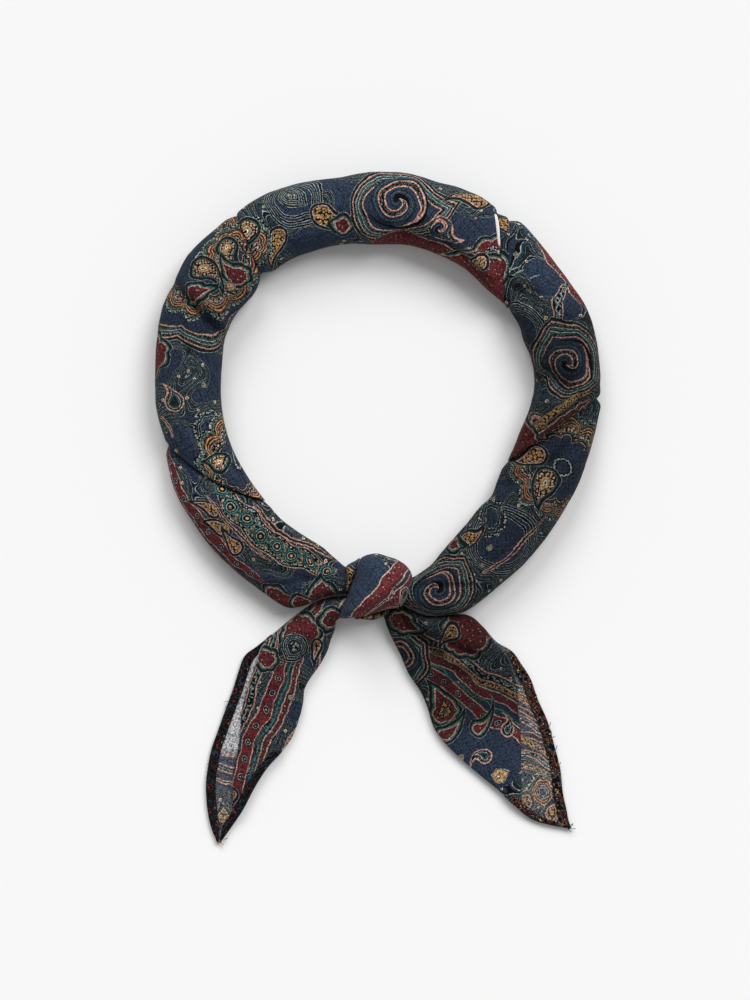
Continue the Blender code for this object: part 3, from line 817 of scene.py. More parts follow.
def added(tree, kind, inputs=(), output=0, **settings):
    """A new node of this kind, with its settings, and with values or links in its inputs. Returns one
    of its outputs."""
    node = tree.nodes.new("ShaderNode" + kind)
    for name, value in settings.items():
        setattr(node, name, value)
    for name, value in dict(inputs).items():
        plug(tree, node.inputs[name], value)
    return Field(tree, node.outputs[output])


def parts_of(tree, vector):
    """A vector's x and y."""
    node = tree.nodes.new("ShaderNodeSeparateXYZ")
    plug(tree, node.inputs[0], vector)
    return Field(tree, node.outputs[0]), Field(tree, node.outputs[1])


def joined(tree, x, y, z=0.0):
    return added(tree, "CombineXYZ", enumerate((x, y, z)))


def noise_of(tree, place, pitch, detail=1.0, output="Fac"):
    """Soft noise with lumps of about this pitch."""
    inputs = {"Vector": place, "Scale": 1.0 / pitch, "Detail": detail}
    return added(tree, "TexNoise", inputs, output, noise_dimensions="2D")


def cells_of(tree, place, pitch, randomness):
    """The distance from the middles of scattered cells of about this pitch."""
    inputs = {"Vector": place, "Scale": 1.0 / pitch, "Randomness": randomness}
    return added(tree, "TexVoronoi", inputs, "Distance", voronoi_dimensions="2D")


def bands(tree, value, stops):
    """A colour for each span of the value. Returns the colour and how much of it covers what is below."""
    node = tree.nodes.new("ShaderNodeValToRGB")
    plug(tree, node.inputs["Fac"], value)
    ramp = node.color_ramp
    ramp.interpolation = "CONSTANT"
    while len(ramp.elements) < len(stops):
        ramp.elements.new(0.5)
    for element, (position, colour) in zip(ramp.elements, stops):
        element.position = position
        element.color = (*colour, 1.0) if colour else (0.0, 0.0, 0.0, 0.0)
    return Field(tree, node.outputs["Color"]), Field(tree, node.outputs["Alpha"])


def mixed(tree, share, below, above, blend="MIX"):
    """One colour laid over another."""
    inputs = {"Factor": share, "A": below, "B": above}
    for name in ("A", "B"):
        if not isinstance(inputs[name], Field):
            inputs[name] = (*inputs[name], 1.0)
    return added(tree, "Mix", inputs, "Result", data_type="RGBA", blend_type=blend)


def mixed_number(tree, share, below, above):
    """One number laid over another."""
    return added(tree, "Mix", {0: share, 2: below, 3: above}, data_type="FLOAT")


# The print ------------------------------------------------------------------------------------------

# The inks, by number. The second line's are small patterns in more than one colour.
INKS = """
    navy ink brown red salmon gold cream teal sage pine
    flowered beads pearls scrolls specks waves blooms
""".split()
INK_COUNT = len(INKS)

# How far outside and inside a motif's outline its bands are listed, in millimetres.
BANDS_OUT = 4.0
BANDS_IN = 10.0


def ink_stops(text):
    """A list of bands from its text: where each starts, and its ink, or none to leave what is below."""
    pairs = [pair.split() for pair in text.split(",") if pair]
    return [(float(at), None if ink == "none" else ink) for at, ink in pairs]


def ink_value(name):
    """The number that stands for an ink."""
    return (INKS.index(name) + 0.5) / INK_COUNT


def ink_bands(tree, value, stops):
    """The ink for each span of the value, and whether it covers what is below."""
    return bands(tree, value, [(at, (ink_value(name),) * 3 if name else None) for at, name in stops])


def polar(tree, place):
    """How far a place is from the origin, and its bearing."""
    x, y = parts_of(tree, place)
    return (x * x + y * y).root(), y.math("ARCTAN2", x)


# How deep a drop's scallops are, and how far in its outline is between them, as shares of its size.
SCALLOP_DEPTH = 0.15
SCALLOP_FROM = 0.95

# A curl: how fast its turns open out, where its arm starts and where it is whole, in turns, over what
# part of a turn it narrows again, and its width, as a share of the distance between its turns.
CURL_OPENING = 0.85
CURL_START = 0.1
CURL_WHOLE = 0.45
CURL_NARROWING = 0.5
CURL_WIDTH = 0.46

# How often, and how far, a sweep and a ribbon waver from their line.
SWEEP_WAVER = (2.2, 0.1)
RIBBON_WAVER = (2.3, 0.05)


def drop_form(tree, place, _, point, bend, lobes):
    """A drop: point is how far round its taper reaches, bend how far its tip curls, and lobes the number
    of its scallops. Returns its share from the middle to the outline, and the same for its heart."""
    reach, bearing = polar(tree, place)
    lean = (bearing - bend * reach).cosine().math("ARCCOSINE")
    taper = (point - lean).math("MAXIMUM", 0.0).cosine()
    scallop = (lobes * bearing * 0.5).sine().absolute() * SCALLOP_DEPTH + SCALLOP_FROM
    share = reach * taper / scallop
    return share, share


def curl_form(tree, place, size, turns, hand, _):
    """A curl's arm, which narrows to nothing at both ends. Returns its share from the middle to the
    outline, the same for the disc that it lies on, and the place between its turns."""
    reach, bearing = polar(tree, place)
    phase = reach**CURL_OPENING * turns - hand * bearing / math.tau
    part = phase.part()
    along = phase - part + hand * bearing / math.tau
    narrowing = (turns - CURL_START - along).smooth(0.0, CURL_NARROWING)
    width = along.smooth(CURL_START, CURL_WHOLE) * CURL_WIDTH * narrowing
    edge = part.math("MINIMUM", width - part) * size / turns
    return 1.0 - edge / size, reach, part


def sweep_form(tree, place, _, radius, half_angle, step):
    """A long arc with pointed ends, and hearts a step apart along it."""
    x, y = parts_of(tree, place)
    reach, bearing = polar(tree, joined(tree, x, y + radius))
    turned = bearing - math.pi / 2.0
    along = turned / half_angle
    width = (1.0 - along * along).math("MAXIMUM", 0.0001).root()
    often, far = SWEEP_WAVER
    across = reach - radius + (turned * radius * often).sine() * far
    share = across.absolute() / width + along.absolute().over(1.0) * 9.0
    beside = ((turned * radius / step).part() - 0.5) * step
    return share, (across * across + beside * beside).root()


def ribbon_form(tree, place, _, pitch, height, step):
    """A long wavy ribbon, and hearts a step apart along it."""
    x, y = parts_of(tree, place)
    often, far = RIBBON_WAVER
    across = y + (x * math.tau / pitch).sine() * height + (x * often).sine() * far
    beside = ((x / step).part() - 0.5) * step
    return across.absolute(), (across * across + beside * beside).root()


# A kind of motif: the function that gives its form, its bands from outside its outline inwards in
# millimetres, and the bands of its heart as shares of its size.
Kind = namedtuple("Kind", "form edge heart")


def motif_kind(form, edge, heart=""):
    """A kind of motif, from its bands' texts."""
    return Kind(form, ink_stops(edge), ink_stops(heart))


ECHO = "-1.25 sage, -1.05 pine, "
DROP_EDGE = ECHO + "0 ink, 0.15 teal, 0.6 ink, 0.75 salmon, 1.3 ink, 1.5 flowered"
TRAIL_EDGE = "0 salmon, 0.52 ink, 0.65 brown"
WAVE_EDGE = "0 ink, 0.15 salmon, 0.65 brown, 1.1 ink, 1.25 waves"
STRIPE_EDGE = "0 ink, 0.2 salmon, 0.75 ink, 0.9 red"
STRIPE_HEART = "0 salmon, 0.1 pine, 0.34 sage, 0.42 ink, 0.52 none"
FIELD_EDGE = "0 ink, 0.2 salmon, 0.7 teal, 0.9 ink, 1.05 flowered"
BEADED_EDGE = "0 ink, 0.15 gold, 0.4 ink, 0.55 beads"

KINDS = {
    "drop": motif_kind(drop_form, DROP_EDGE, "0 teal, 0.14 ink, 0.18 beads, 0.38 ink, 0.44 none"),
    "patch": motif_kind(drop_form, DROP_EDGE),
    "leaf": motif_kind(drop_form, ECHO + "0 ink, 0.15 salmon, 0.6 ink, 0.75 beads"),
    "bloom": motif_kind(
        drop_form,
        ECHO + "0 ink, 0.2 teal, 0.5 ink, 0.7 blooms",
        "0 ink, 0.1 cream, 0.2 ink, 0.24 gold, 0.42 ink, 0.47 none",
    ),
    "fan": motif_kind(
        drop_form,
        "0 ink, 0.15 pearls, 1.2 teal, 1.55 ink, 1.75 scrolls, 2.6 ink, 2.8 red, 3.3 gold, 3.8 brown, "
        "4.4 gold, 4.7 red, 5.3 ink, 5.5 sage, 5.75 pine, 6.1 blooms, 7.6 ink, 7.8 teal, 8.1 pine, "
        "8.6 ink, 8.8 salmon, 9.1 brown, 9.5 navy",
        "0 navy, 0.12 ink, 0.15 sage, 0.18 ink, 0.21 none",
    ),
    "pool": motif_kind(
        drop_form,
        "0 pine, 0.3 sage, 0.5 pine, 1.3 sage, 1.5 pine, 2.1 sage, 2.3 navy, 3.1 sage, 3.3 pine, "
        "4.1 sage, 4.3 navy, 5.2 sage, 5.4 pine, 6.2 sage, 6.4 pine",
        "0 pearls, 0.28 ink, 0.32 none",
    ),
    "halo": motif_kind(
        drop_form,
        ECHO + "0 ink, 0.12 salmon, 0.7 ink, 0.85 specks, 1.9 sage, 2.2 pine, 2.5 teal, 2.75 pine, "
        "3.2 sage, 3.6 pine, 3.9 teal, 4.1 ink, 4.3 specks, 5.1 salmon, 5.65 ink, 5.85 navy, 7 pine, "
        "7.2 navy",
    ),
    "echo": motif_kind(
        drop_form,
        "0 sage, 0.2 ink, 0.9 sage, 1.1 navy, 2 sage, 2.2 ink, 2.9 sage, 3.1 navy, 4.1 sage, 4.3 ink, "
        "5 sage, 5.2 navy",
    ),
    "hook": motif_kind(drop_form, "0 salmon, 0.6 ink, 0.75 specks, 1.6 sage, 1.9 pine, 2.3 teal, 2.5 pine"),
    "chain": motif_kind(
        drop_form, "0 ink, 0.15 pearls, 1.3 ink, 1.5 navy, 2.4 sage, 2.6 pine, 3.4 sage, 3.6 navy"
    ),
    "rosette": motif_kind(drop_form, "0 ink, 0.15 sage, 0.4 ink, 0.6 gold", "0 cream, 0.16 ink, 0.28 none"),
    "plain": motif_kind(drop_form, "0 navy"),
    "curl": motif_kind(curl_form, "0 salmon, 0.6 ink, 0.72 specks"),
    "trail": motif_kind(sweep_form, TRAIL_EDGE),
    "wave": motif_kind(sweep_form, WAVE_EDGE),
    "stripe": motif_kind(sweep_form, STRIPE_EDGE, STRIPE_HEART),
    "field": motif_kind(sweep_form, FIELD_EDGE),
    "garland": motif_kind(
        sweep_form,
        "0 salmon, 0.4 ink, 0.55 pine, 1 pearls, 1.8 ink, 2 scrolls",
        "0 gold, 0.12 ink, 0.2 pine, 0.28 sage, 0.34 ink, 0.44 teal, 0.54 ink, 0.6 none",
    ),
    "beaded": motif_kind(sweep_form, BEADED_EDGE),
    "line": motif_kind(sweep_form, "0 sage"),
    "ribbon": motif_kind(ribbon_form, STRIPE_EDGE, STRIPE_HEART),
    "field_ribbon": motif_kind(ribbon_form, FIELD_EDGE),
    "green_ribbon": motif_kind(ribbon_form, "0 ink, 0.15 teal"),
    "salmon_ribbon": motif_kind(ribbon_form, TRAIL_EDGE),
    "wave_ribbon": motif_kind(ribbon_form, WAVE_EDGE),
    "gold_ribbon": motif_kind(ribbon_form, BEADED_EDGE),
}

# Across the plain cloth between a curl's turns, as shares of the distance between them.
CURL_GROUND = ink_stops("0 ink, 0.5 navy, 0.63 teal, 0.655 navy, 0.75 pine, 0.8 navy")

# A motif's form is drawn with its size as 1. These are the four numbers that it is given.
FORM_NUMBERS = ("Size", "First", "Second", "Third")


def motif_group(kind_name):
    """A node group that draws one kind of motif about its origin, with its size as 1."""
    name = "motif_" + kind_name
    if name in bpy.data.node_groups:
        return bpy.data.node_groups[name]
    kind = KINDS[kind_name]
    tree = bpy.data.node_groups.new(name, "ShaderNodeTree")
    tree.interface.new_socket("Place", in_out="INPUT", socket_type="NodeSocketVector")
    for number in FORM_NUMBERS:
        tree.interface.new_socket(number, in_out="INPUT", socket_type="NodeSocketFloat")
    for result in ("Ink", "Cover"):
        tree.interface.new_socket(result, in_out="OUTPUT", socket_type="NodeSocketFloat")
    inlet = tree.nodes.new("NodeGroupInput")
    outlet = tree.nodes.new("NodeGroupOutput")
    place, size, *numbers = [Field(tree, socket) for socket in inlet.outputs[: 1 + len(FORM_NUMBERS)]]
    share, heart_share, *between = kind.form(tree, place, size, *numbers)
    reach = BANDS_OUT + BANDS_IN
    within = ((1.0 - share) * size + BANDS_OUT) / reach
    stops = [(0.0, None)] + [((at + BANDS_OUT) / reach, band) for at, band in kind.edge]
    ink, cover = ink_bands(tree, within, stops)
    if between:
        ground, _ = ink_bands(tree, between[0], CURL_GROUND)
        ink = mixed_number(tree, cover, ground, ink)
        cover = heart_share.under(1.0)
    if kind.heart:
        heart, shown = ink_bands(tree, heart_share, kind.heart)
        ink = mixed_number(tree, shown, ink, heart)
    plug(tree, outlet.inputs["Ink"], ink)
    plug(tree, outlet.inputs["Cover"], cover)
    return tree


# One motif of a piece's print: its kind, its place in the plan, its turn in degrees, its size, and
# the three numbers of its form.
Motif = namedtuple("Motif", "kind x y turn size first second third", defaults=(0.0, 0.0, 0.0))


def ring_motif(kind, bearing, radius, turn, size, *form_numbers):
    """A motif placed round the ring, its turn measured from the way out of the ring."""
    return Motif(kind, *ring_point(bearing, radius), bearing + turn, size, *form_numbers)


def round_the_ring(kind, bearing, radius, half_width, half_angle, step):
    """A motif that follows the ring at this radius."""
    angle = math.radians(half_angle)
    return ring_motif(kind, bearing, radius, -90.0, half_width, radius / half_width, angle, step)


PLACED_BY = {"at": Motif, "ring": ring_motif, "round": round_the_ring}


def placed_motif(placed_by, kind, *numbers):
    """A motif of this kind, its place given in the plan, round the ring or along it."""
    return PLACED_BY[placed_by](kind, *numbers)


MOTIFS = {
    "top_stretch": table(placed_motif, """
        ring echo 112 90 200 13.5 0.7 0.2
        ring pool 112 91 200 6.5 0.7 0.2
        ring leaf 121 78 115 4.4 1.25 0.14
        ring fan 130 84 75 11 0.6 -0.2 9
        ring bloom 127.5 89 75 4.8 1.2 -0.2
        ring leaf 106 79 215 4.4 1.26 0.2
        ring patch 100 73 40 3.8 0.9 0.3 4
        ring halo 84 80 250 18 0.9 0.35
        ring curl 83 82 30 12 1.75 -1
        ring hook 69 76 200 5 1.15 0.5
        ring curl 69.5 75.5 90 4.2 1.3 1
        ring patch 47 76 100 10.5 0.9 0.2 9
        ring chain 50 77 100 3.6 0.9 0.3 7
        ring leaf 63 95 100 4 1.25 0.12
        round field 66 60 8.6 27 3
        ring patch 45 63 115 15 1 0.12 5
        ring leaf 52 72 60 3.4 0.5
        ring rosette 62 63 0 1.5 0 0 4
    """),
    "tuck": table(placed_motif, """
        ring patch 48 72 120 8 1 0.2 4
        ring leaf 52 92 100 4 1.2 0.12
    """),
    "left_stretch": table(placed_motif, """
        at halo -72 104 200 33 0.3 0.1 7
        ring patch 169 100 190 10.5 0.5 0.1 9
        at fan -71 106 190 24 0.5 0.1 13
        ring fan 134 84 170 13 0.6 0.2 9
        ring bloom 134 88 130 4.6 1.15 0.3
        ring bloom 143 90 215 5 1.2 -0.3
        ring patch 150 86 200 3.8 1.1 0.2 7
        ring patch 138 76 20 4.2 1.1 -0.2 7
        ring rosette 142 76 0 2 0.6 0 5
        ring hook 181 84 250 4.4 1.1 0.4
        ring chain 191 68 0 7.5 0.5 0 9
        ring trail 187 88 120 0.8 14 0.5 3
        ring fan 206 61 260 19 0.4 0.1 12
        ring leaf 207 84 80 3.2 1.25 0.2
        ring bloom 203 70 300 3.6 1.1 0.2
        ring rosette 176 72 0 1.2 0 0 4
        ring rosette 195 86 0 1.3 0 0 4
    """),
    "lower_left_stretch": table(placed_motif, """
        round field 214 98.5 4.2 26 3
        round stripe 216 90.5 2.7 24 3.2
        ring leaf 215 83 -80 3 1.25 0.1
        ring leaf 221 84.5 -75 3.2 1.2 0.1
        ring leaf 227 85.5 -80 2.8 1.25 -0.1
        round garland 233 74 5.4 26 1.5
        round trail 240 67.5 1.1 20 3
        round trail 224 80.5 0.9 14 3
        ring patch 243 97 100 6.6 1.15 0.1 7
        ring patch 255 86 170 5.2 0.9 0.2 4
        ring patch 250 93 150 4.4 0.9 -0.2 3
    """),
    "upper_right_stretch": table(placed_motif, """
        round field 35 98 5 10.5 3
        ring line 43 78 -10 0.35 60 0.2 3
        ring line 41 80 -8 0.3 60 0.18 3
        ring line 37 84 0 0.3 60 0.14 3
        ring rosette 45 84 0 1.3 0 0 4
        ring rosette 30 72 0 1.3 0 0 4
        ring rosette 34 79 0 1.1 0 0 4
        ring wave 26 85 60 2.6 8 0.7 3
        ring echo 24 66 100 13 0.5 0.3
        ring halo 11 82 120 16.5 0.5 -0.3
        ring curl 10 82 200 11 1.75 1
        ring hook -9 68 20 4.6 1 -0.4
        ring curl -9 68 0 4 1.4 -1
        at beaded 71.4 39.2 36.5 1.9 90 0.14 3
        at field 73.6 35.6 36.5 1.7 100 0.13 3
        ring patch -18 64 200 8.4 0.9 0.2 9
    """),
    "lower_right_stretch": table(placed_motif, """
        ring echo -48 80 30 16 0.3 0.1
        ring fan -20 84 30 22 0.3 0 13
        ring bloom -26 80 250 5.4 1.1 0.2
        ring leaf -20 72 230 3.8 1.1 -0.2
        ring chain -46 70 40 7 0.5 0 9
        round field -32 101 3.6 26 3
        round trail -47 87 0.9 12 3
        ring leaf -57 70 60 3 1.2 0.2
        ring rosette -52 79 0 1.3 0 0 4
        ring rosette -57 84 0 1.2 0 0 4
        ring halo -71 84 100 14.5 0.6 0.3
        ring curl -72 84.5 60 9 1.6 1
        ring patch -62 68 20 3.4 0.9 0.3 4
    """),
    "wrap": table(placed_motif, """
        at plain -10 -28 0 18
        at field_ribbon 1 -34.5 52 3.7 16 0.2 3
        at field_ribbon 7.8 -37.8 48 3.2 14 0.25 3
        at leaf 10.6 -43 200 3.4 1.25 0.1
        at hook 16 -33 220 4 1 0.3
        at patch 6 -56 140 7 1 0.1 4
    """),
    "strip": table(placed_motif, "at leaf -16 -26 250 7 1.25 0.1"),
    "roll": table(placed_motif, "at fan -4 -52 90 14 0.3 0 9"),
    "left_end_front": table(placed_motif, """
        at ribbon -48 -86.2 251 3.2 18 0.45 2.3
        at green_ribbon -43.4 -87.9 251 0.55 105 2.6 3
        at field_ribbon -40.7 -88.9 251 1.7 34 0.85 3
        at salmon_ribbon -33.9 -90.2 249 0.5 115 3 3
        at patch -30 -50 210 7.5 0.9 0.1 9
        at patch -18.5 -44 240 4.6 0.7 0.2 4
        at pool -33.5 -56 230 6.2 0.6 0.2
        at leaf -24 -56 235 2.1 1.25 0.1
        at wave_ribbon -46.5 -62 250 2 14 0.3 3
        at patch -45.5 -61 120 4.2 1.2 0.3 7
        at leaf -60 -118 250 2.4 1.1 0.1
        at rosette -34.5 -78 0 1.3 0 0 4
        at rosette -37 -97 0 1.2 0 0 4
        at rosette -33 -88 0 0.9 0 0 4
        at patch -38 -103 60 2.4 0.8 0.1 3
    """),
    "left_end_back": table(placed_motif, """
        at leaf -63.5 -128 80 2.8 1 0.2
        at wave_ribbon -66 -106 160 1.6 9 0.4 3
        at salmon_ribbon -66 -113 170 0.8 8 0.5 3
        at salmon_ribbon -64 -101 150 0.7 9 0.5 3
    """),
    "right_end_front": table(placed_motif, """
        at plain 46 -98 0 20
        at ribbon 38 -78 -35 2.8 13 0.3 2.6
        at green_ribbon 39.5 -74.4 -34 0.5 22 0.7 3
        at field_ribbon 41 -71 -32 2.4 11 0.3 3
        at gold_ribbon 42 -67 -30 1.5 18 0.4 3
        at wave_ribbon 40 -63 -30 2.2 14 0.3 3
        at patch 38 -50 -20 9.5 0.8 0.15 11
        at leaf 33 -49 200 3 1.2 0.2
        at plain 7 -64 0 16.5
        at halo 9 -62 20 14 0.5 0.2
        at curl 11 -61 90 8.5 1.6 1
        at hook 56 -92 20 3 1.2 0.6
        at patch 10.5 -45 -60 4.8 1.1 0.3 7
        at drop 30 -83 95 5 1.15 0.15 6
        at patch 30 -93 20 3.4 1.28 0.16
        at patch 44 -90.5 12 3 1.3 0.2
        at gold_ribbon 44 -115.5 -38 1.5 30 0.6 3
        at rosette 53 -110 0 3 0.8 0.3 5
        at hook 47 -102 130 3.2 1.25 0.6
        at rosette 36 -103 0 1.6 0 0 4
    """),
    "right_end_back": table(placed_motif, """
        at wave_ribbon 60 -73 165 1.8 12 0.5 3
        at gold_ribbon 64 -79 158 1.3 12 0.5 3
        at field_ribbon 66 -84 170 1.5 14 0.5 3
        at wave_ribbon 68 -89 165 1.8 9 0.5 3
        at salmon_ribbon 69 -94 172 1.5 7 0.4 3
        at gold_ribbon 70 -99 155 1.5 16 0.5 3
        at wave_ribbon 70 -104 160 1.9 9 0.5 3
        at gold_ribbon 72 -110 165 1.3 16 0.5 3
        at fan 72 -118 250 8 0.6 0.3 7
        at leaf 63 -122 200 3.6 0.9 0.2 4
        at leaf 75 -127 60 3 0.9 0.2 4
    """),
}


def with_motif(tree, place, ink, motif):
    """The inks with one motif laid over them."""
    inputs = {
        "Vector": place,
        "Location": (motif.x, motif.y, 0.0),
        "Rotation": (0.0, 0.0, math.radians(motif.turn)),
        "Scale": (motif.size, motif.size, 1.0),
    }
    about_motif = added(tree, "Mapping", inputs, vector_type="TEXTURE")
    node = tree.nodes.new("ShaderNodeGroup")
    node.node_tree = motif_group(motif.kind)
    plug(tree, node.inputs["Place"], about_motif)
    for name, value in zip(FORM_NUMBERS, motif[4:]):
        node.inputs[name].default_value = value
    cover = Field(tree, node.outputs["Cover"])
    return mixed_number(tree, cover, ink, Field(tree, node.outputs["Ink"]))


# The ground between the motifs: the pitch of its gardens, the level of the noise from which they start,
# how often their lines repeat, and the pitch of the flowers in them.
GARDEN_PITCH = 18.0
GARDEN_FROM = 0.46
GARDEN_REPEATS = 17.0
GARDEN_LINES = ink_stops(
    "0 sage, 0.05 ink, 0.2 navy, 0.33 sage, 0.37 brown, 0.5 pine, 0.66 teal, 0.7 ink, 0.78 navy"
)
FLOWER_PITCH = 8.5
FLOWERS = ink_stops("0 gold, 0.025 ink, 0.045 cream, 0.075 ink, 0.1 none")

# What draws the small patterns, with its pitch in millimetres and how scattered or fine it is.
PATTERN_SOURCES = {
    "flowers": (cells_of, 2.6, 0.85),
    "seeds": (cells_of, 1.15, 0.6),
    "scrawl": (noise_of, 1.1, 0.0),
    "swell": (noise_of, 1.9, 0.0),
}
PATTERNS = {
    "flowered": ("flowers", "0 gold, 0.07 salmon, 0.1 ink, 0.17 red, 0.4 brown, 0.46 red"),
    "beads": ("seeds", "0 ink, 0.13 gold, 0.42 ink"),
    "pearls": ("seeds", "0 ink, 0.16 cream, 0.24 sage, 0.38 ink"),
    "scrolls": ("scrawl", "0 ink, 0.4 sage, 0.47 pine, 0.54 teal, 0.63 ink, 0.7 gold"),
    "specks": ("scrawl", "0 ink, 0.38 brown, 0.58 sage, 0.62 brown"),
    "blooms": ("seeds", "0 ink, 0.1 cream, 0.15 gold, 0.25 salmon, 0.38 ink"),
    "waves": ("swell", "0 ink, 0.3 teal, 0.4 pine, 0.46 sage, 0.6 pine, 0.68 ink"),
}

# A hem's flecks, by the end that it is on.
HEM_PITCH = 3.6
HEM_FLECKS = {
    "left": ink_stops(
        "0 ink, 0.34 navy, 0.39 pine, 0.43 ink, 0.51 brown, 0.55 ink, 0.63 brown, 0.655 red, 0.7 ink"
    ),
    "right": ink_stops(
        "0 ink, 0.34 navy, 0.39 pine, 0.43 gold, 0.442 ink, 0.51 brown, 0.55 red, 0.575 ink, 0.63 brown, "
        "0.655 gold, 0.665 red, 0.7 ink"
    ),
}

# How far the lines waver, by the pitch of the wavering, in millimetres.
WAVERS = {14.0: 3.0, 5.0: 0.8, 1.3: 0.25}


def ground_ink(tree, place):
    """Plain navy, with gardens of thin echoing lines and small flowers between the motifs."""
    lie = noise_of(tree, place, GARDEN_PITCH, 0.6)
    line, _ = ink_bands(tree, ((lie - GARDEN_FROM) * GARDEN_REPEATS).part(), GARDEN_LINES)
    flower, flowers = ink_bands(tree, cells_of(tree, place, FLOWER_PITCH, 0.9), FLOWERS)
    ink = mixed_number(tree, lie.over(GARDEN_FROM), ink_value("navy"), line)
    return mixed_number(tree, flowers * lie.over(GARDEN_FROM - 0.01), ink, flower)


def hem_ink(tree, place, piece):
    """A hem shows the print's back, doubled and dark, with flecks of its colours."""
    ink, _ = ink_bands(tree, noise_of(tree, place, HEM_PITCH), HEM_FLECKS[piece.split("_")[0]])
    return ink


def dyes(palette, text):
    """A list of bands from its text, with their colours."""
    return [(at, palette[ink]) for at, ink in ink_stops(text)]


def dyed(tree, place, ink, palette):
    """The colour of each ink."""
    flat = [(number / INK_COUNT, palette.get(name, palette["red"])) for number, name in enumerate(INKS)]
    colour, _ = bands(tree, ink, flat)
    drawn_by = {name: draw(tree, place, *how) for name, (draw, *how) in PATTERN_SOURCES.items()}
    for name, (source, stops) in PATTERNS.items():
        pattern, _ = bands(tree, drawn_by[source], dyes(palette, stops))
        chosen = ink.math("COMPARE", ink_value(name), 0.4 / INK_COUNT)
        colour = mixed(tree, chosen, colour, pattern)
    return colour


def hand_drawn(tree, place):
    """The place moved a little this way and that, so that no line is quite true."""
    moved = place
    for pitch, reach in WAVERS.items():
        wavering = noise_of(tree, place, pitch, 0.0, "Color")
        inputs = {0: wavering, 1: (reach, reach, 0.0), 2: moved}
        moved = added(tree, "VectorMath", inputs, operation="MULTIPLY_ADD")
    return moved


def stretched(tree, place, x_pitch, y_pitch):
    """Noise drawn out along one way of the cloth, as uneven yarns are."""
    x, y = parts_of(tree, place)
    return noise_of(tree, joined(tree, x / x_pitch, y / y_pitch), 1.0, 1.0)


def both_ways(tree, place, fine, drawn_out):
    """Noise drawn out along the warp, and along the weft."""
    return stretched(tree, place, fine, drawn_out), stretched(tree, place, drawn_out, fine)


def yarn_height(tree, place, cloth):
    """The plain weave: 1 on the crowns of its uneven yarns, and 0 in the gaps between them."""
    x, y = parts_of(tree, place)
    turns = math.tau / (cloth.yarn / MM)
    slub = noise_of(tree, place, SLUB_PITCH) * SLUB_SHIFT
    return (x * turns + slub).sine().math("MAXIMUM", (y * turns + slub).sine()) * 0.5 + 0.5


def shaded(tree, shader, colour, shade):
    """Gives a shader this colour, darkened or lightened by a number."""
    colour = mixed(tree, 1.0, colour, joined(tree, shade, shade, shade), "MULTIPLY")
    plug(tree, shader.inputs["Base Color"], colour)


def woven(tree, place, colour, yarns, shader, depth=1.0):
    """Gives a shader its colour and relief: yarns, some of them undyed grey, painted lighter on their
    crowns and darker between them as painted light and shade, uneven dye, fine wrinkles. The depth darkens
    it as painted shade, or lightens it above 1 as painted light."""
    grey = added(tree, "RGBToBW", {0: colour})
    warp, weft = both_ways(tree, place, *FADED_LENGTHS)
    faded = (warp * weft).smooth(*FADED_LEVELS) * GREY_SHARE
    colour = mixed(tree, faded, colour, joined(tree, grey, grey, grey))
    warp, weft = both_ways(tree, place, *STREAK_LENGTHS)
    specks = noise_of(tree, place, SPECK_PITCHES[0], 0.0) + noise_of(tree, place, SPECK_PITCHES[1], 0.0)
    # The yarns' share is painted light on their crowns and painted shade in the gaps between them.
    shade = yarns * YARN_SHADE + (warp + weft) * STREAK_SHADE + specks * SPECK_SHADE - LEAST_SHADE
    shaded(tree, shader, colour, (shade * depth).math("MAXIMUM", DARKEST))
    wrinkles = noise_of(tree, place, WRINKLE_PITCH, 2.0) + stretched(tree, place, *DRAWN_WRINKLES)
    relief(tree, shader, yarns * YARN_RELIEF + wrinkles * WRINKLE)


def relief(tree, shader, height):
    """Raises a shader's surface by this height, in millimetres."""
    bump = added(tree, "Bump", {"Distance": MM, "Strength": 1.0, "Height": height}, "Normal")
    plug(tree, shader.inputs["Normal"], bump)


# Materials ------------------------------------------------------------------------------------------


def new_material(name):
    material = bpy.data.materials.new(name)
    material.use_nodes = True
    return material, material.node_tree, material.node_tree.nodes["Principled BSDF"]


def palette_of(settings):
    """The colour of each ink that has one of its own."""
    return {name: tuple(getattr(settings, name)) for name in INKS if hasattr(settings, name)}


def plan_place(tree):
    """The place in the cut cloth's plan, in millimetres."""
    return in_millimetres(tree, added(tree, "UVMap", uv_map=PRINT_MAP))


def in_millimetres(tree, place):
    return added(tree, "VectorMath", {0: place, "Scale": 1.0 / MM}, operation="SCALE")


def set_constants(shader, **values):
    """Sets a shader's own sockets, by their names with _ for a space."""
    for name, value in values.items():
        shader.inputs[name.replace("_", " ")].default_value = value


def printed_material(context, piece):
    """The printed voile of one piece: rolled, gathered, one sheer layer, or turned and stitched."""
    material, tree, shader = new_material(piece + "_print")
    place = plan_place(tree)
    drawn = hand_drawn(tree, place)
    ink = hem_ink(tree, drawn, piece) if piece.endswith("hem") else ground_ink(tree, drawn)
    for motif in MOTIFS.get(piece, []):
        ink = with_motif(tree, drawn, ink, motif)
    colour = dyed(tree, drawn, ink, palette_of(context.scene.bandana_print))
    place = turned(tree, place, GRAIN.get(piece, 45.0))
    yarns = yarn_height(tree, place, context.scene.bandana_cloth)
    if piece in SHEER:
        colour = see_through(tree, place, colour, graded(tree, *SHEER[piece]))
    # Painted light and shade: this piece's colour is darkened or lightened by a grade in the plan.
    depth = graded(tree, *PAINTED_LIGHT_AND_SHADE[piece]) if piece in PAINTED_LIGHT_AND_SHADE else 1.0
    woven(tree, place, colour, yarns, shader, depth)
    set_constants(shader, Roughness=0.88, Specular_IOR_Level=0.08, Sheen_Weight=0.03, Sheen_Roughness=0.5)
    return material


